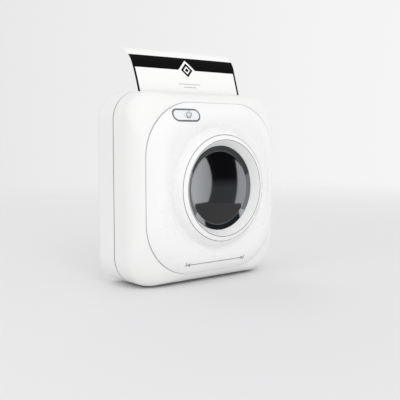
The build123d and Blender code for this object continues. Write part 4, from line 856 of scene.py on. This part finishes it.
# The boards are glass-fibre laminate with green lacquer over copper tracks, and small tinned holes.
# The chips on them, and the switch, are black moulded resin.
lacquer = (0.02, 0.17, 0.07)
track_green = (0.08, 0.36, 0.14)
hole_tin = (0.6, 0.58, 0.5)
hole_scale = 320.0
hole_reach = 0.1
hole_soft = 0.02
track_cover = 0.7
chip_black = (0.03, 0.03, 0.033)
board_green, tree, shader = moulded("board_green", lacquer, 0.3, grain_depth=0.000003)
_, parts = object_place(tree)
flat = new_node(tree, "ShaderNodeCombineXYZ", {"X": parts["X"], "Y": parts["Z"]}).outputs["Vector"]
tracks = 0.0
for turn, width, height in ((0, 0.0042, 0.0011), (90, 0.0065, 0.0016)):
    turned_place = new_node(tree, "ShaderNodeMapping", {"Vector": flat, "Rotation": (0, 0, radians(turn))})
    courses = new_node(tree, "ShaderNodeTexBrick", {
        "Vector": turned_place.outputs["Vector"], "Scale": 1.0, "Mortar Size": 0.00012, "Mortar Smooth": 0.1,
        "Brick Width": width, "Row Height": height})
    tracks = math_node(tree, "MAXIMUM", tracks, courses.outputs["Fac"])
holes = new_node(tree, "ShaderNodeTexVoronoi", {"Vector": flat, "Scale": hole_scale, "Randomness": 0.9},
                 voronoi_dimensions="2D").outputs["Distance"]
tint(tree, shader, lacquer, [(math_node(tree, "MULTIPLY", tracks, track_cover), track_green),
                             (band(tree, holes, end=hole_reach, edge=hole_soft), hole_tin)])
finish(board_green, "main_board", "button_board")
chip_resin = moulded("chip_resin", chip_black, 0.5, grain_size=0.00015, grain_depth=0.000004, spread=0.15)[0]
finish(chip_resin, "board_chips", "power_switch")

# The roll is thermal paper wound on a brown card tube: its ends show the layers as fine rings.
# The web runs from the roll to the nip, and is the same smooth coated paper.
roll_low, roll_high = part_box("paper_roll")
roll_y = (roll_low[1] + roll_high[1]) / 2
roll_z = (roll_low[2] + roll_high[2]) / 2
paper_colour = (0.92, 0.92, 0.915)
layer_scale = 9000.0
layer_shade = (0.62, 0.61, 0.58)
layer_depth = 0.00003
roll_end = roll_high[0] - 0.00004
roll_paper, tree, shader = moulded("roll_paper", paper_colour, 0.55, grain_size=0.0001, grain_depth=0.000001)
_, parts = object_place(tree)
from_core = axis_distance(tree, parts["Y"], roll_y, parts["Z"], roll_z)
layers = new_node(tree, "ShaderNodeTexNoise", {"W": from_core, "Scale": layer_scale, "Detail": 2.0},
                  noise_dimensions="1D").outputs["Fac"]
at_end = band(tree, math_node(tree, "ABSOLUTE", parts["X"]), roll_end)
rings = math_node(tree, "MULTIPLY", at_end, layers)
tint(tree, shader, paper_colour, [(rings, layer_shade)])
layer_bump = new_node(tree, "ShaderNodeBump", {"Height": rings, "Distance": layer_depth,
                                               "Normal": shader.inputs["Normal"].links[0].from_socket})
tree.links.new(layer_bump.outputs["Normal"], shader.inputs["Normal"])
finish(roll_paper, "paper_roll", "paper_web")
card_brown = (0.5, 0.4, 0.28)
fibre_brown = (0.36, 0.27, 0.17)
fibre_scale = 1800.0
core_card, tree, shader = moulded("core_card", card_brown, 0.85, grain_size=0.0005, grain_depth=0.00004,
                                  wave_depth=0.00005, spread=0.2)
place, _ = object_place(tree)
fibres = new_node(tree, "ShaderNodeTexNoise", {"Vector": place, "Scale": fibre_scale, "Detail": 5.0})
tint(tree, shader, card_brown, [(fibres.outputs["Fac"], fibre_brown)])
finish(core_card, "roll_core")

# The slip of printed paper leans back as it leaves the slot, and its torn end curls, most at the left corner.
# Its face carries a plain dark border: a band near the end with a small diamond, and a line down each side.
# Two short grey rules stand under the diamond, and its back is blank.
slip_low, slip_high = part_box("paper_slip")
paper_half = slip_high[0]
paper_y = 0.00205
slip_bend_z = 0.0776
slip_bend_radius = 0.012
slip_lean = radians(17)
slip_straight = 0.013
slip_curl_radius = 0.01
slip_curl = radians(54)
slip_twist = 0.0026
slip_thickness = 0.0001
stretch_steps = 12
across_cuts = 23
blank_uv = (0.5, 3.0)
front_limit = -0.05


def slip_route():
    """Points up the slip's middle: straight, a bend, straight, and a curl."""
    stretches = ((slip_bend_z - slip_low[2], 0), (slip_bend_radius * slip_lean, slip_lean),
                 (slip_straight, 0), (slip_curl_radius * slip_curl, slip_curl))
    at = Vector((paper_y, slip_low[2]))
    heading = 0.0
    route = [at.copy()]
    for length, turn in stretches:
        step_turn = turn / stretch_steps
        for _ in range(stretch_steps):
            middle = heading + step_turn / 2
            at += length / stretch_steps * Vector((sin(middle), cos(middle)))
            heading += step_turn
            route.append(at.copy())
    return route


route = slip_route()
travel = [0.0]
for start, end in zip(route, route[1:]):
    travel.append(travel[-1] + (end - start).length)
form = bmesh.new()
corners = [form.verts.new((x, *route[0])) for x in (-paper_half, paper_half)]
bmesh.ops.subdivide_edges(form, edges=[form.edges.new(corners)], cuts=across_cuts)
along = {corner: 0.0 for corner in form.verts}
edges = list(form.edges)
for at, passed in zip(route[1:], travel[1:]):
    made = bmesh.ops.extrude_edge_only(form, edges=edges)["geom"]
    row = [item for item in made if isinstance(item, bmesh.types.BMVert)]
    edges = [item for item in made if isinstance(item, bmesh.types.BMEdge)
             and all(corner in row for corner in item.verts)]
    for corner in row:
        corner.co = (corner.co.x, *at)
        along[corner] = passed / travel[-1]
uv_layer = form.loops.layers.uv.new("print")
for face in form.faces:
    for loop in face.loops:
        loop[uv_layer].uv = (loop.vert.co.x / (2 * paper_half) + 0.5, along[loop.vert])
for corner in form.verts:
    left = 0.5 - corner.co.x / (2 * paper_half)
    risen = max(corner.co.z - slip_bend_z, 0) / (slip_high[2] - slip_bend_z)
    corner.co.y += slip_twist * left**2 * risen**3
bmesh.ops.recalc_face_normals(form, faces=form.faces)
bmesh.ops.solidify(form, geom=form.faces[:], thickness=slip_thickness)
form.normal_update()
for face in form.faces:
    if face.normal.y > front_limit:
        for loop in face.loops:
            loop[uv_layer].uv = blank_uv
slip = new_piece("printed_slip", form)
sharpen(slip.data, angle=50)

print_ink = (0.003, 0.003, 0.0035)
print_material, tree, shader = moulded("printed_paper", paper_colour, 0.6)
shader.inputs["Specular IOR Level"].default_value = 0.05
print_uv = new_node(tree, "ShaderNodeUVMap", uv_map="print").outputs["UV"]
uv_parts = new_node(tree, "ShaderNodeSeparateXYZ", {"Vector": print_uv}).outputs
across = math_node(tree, "MULTIPLY", math_node(tree, "SUBTRACT", uv_parts["X"], 0.5), 2 * paper_half)
off_middle = math_node(tree, "ABSOLUTE", across)
from_end = math_node(tree, "MULTIPLY", math_node(tree, "SUBTRACT", 1.0, uv_parts["Y"]), travel[-1])
border_start = 0.0056
border_end = 0.0116
side_line_width = 0.001
diamond_gap = 0.0046
diamond_half = 0.0032
diamond_inner = 0.0019
diamond_heart = 0.001
rule_height = 0.0003
rule_tone = 0.45
side_line = math_node(tree, "MULTIPLY", band(tree, off_middle, paper_half - side_line_width),
                      band(tree, from_end, border_start))
border = band(tree, from_end, border_start, border_end)
off_diamond = math_node(tree, "ADD", off_middle, math_node(
    tree, "ABSOLUTE", math_node(tree, "SUBTRACT", from_end, border_end)))
border = math_node(tree, "SUBTRACT", border, band(tree, off_diamond, end=diamond_gap))
ink = math_node(tree, "MAXIMUM", border, side_line)
ink = math_node(tree, "MAXIMUM", ink, band(tree, off_diamond, diamond_inner, diamond_half))
ink = math_node(tree, "MAXIMUM", ink, band(tree, off_diamond, end=diamond_heart))
for rule_start, rule_half in ((0.018, 0.006), (0.0194, 0.0035)):
    rule = math_node(tree, "MULTIPLY", band(tree, from_end, rule_start, rule_start + rule_height),
                     band(tree, off_middle, end=rule_half))
    ink = math_node(tree, "MAXIMUM", ink, math_node(tree, "MULTIPLY", rule, rule_tone))
tint(tree, shader, paper_colour, [(ink, print_ink)])
slip.data.materials.append(print_material)
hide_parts("paper_slip")
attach(slip, "slip")
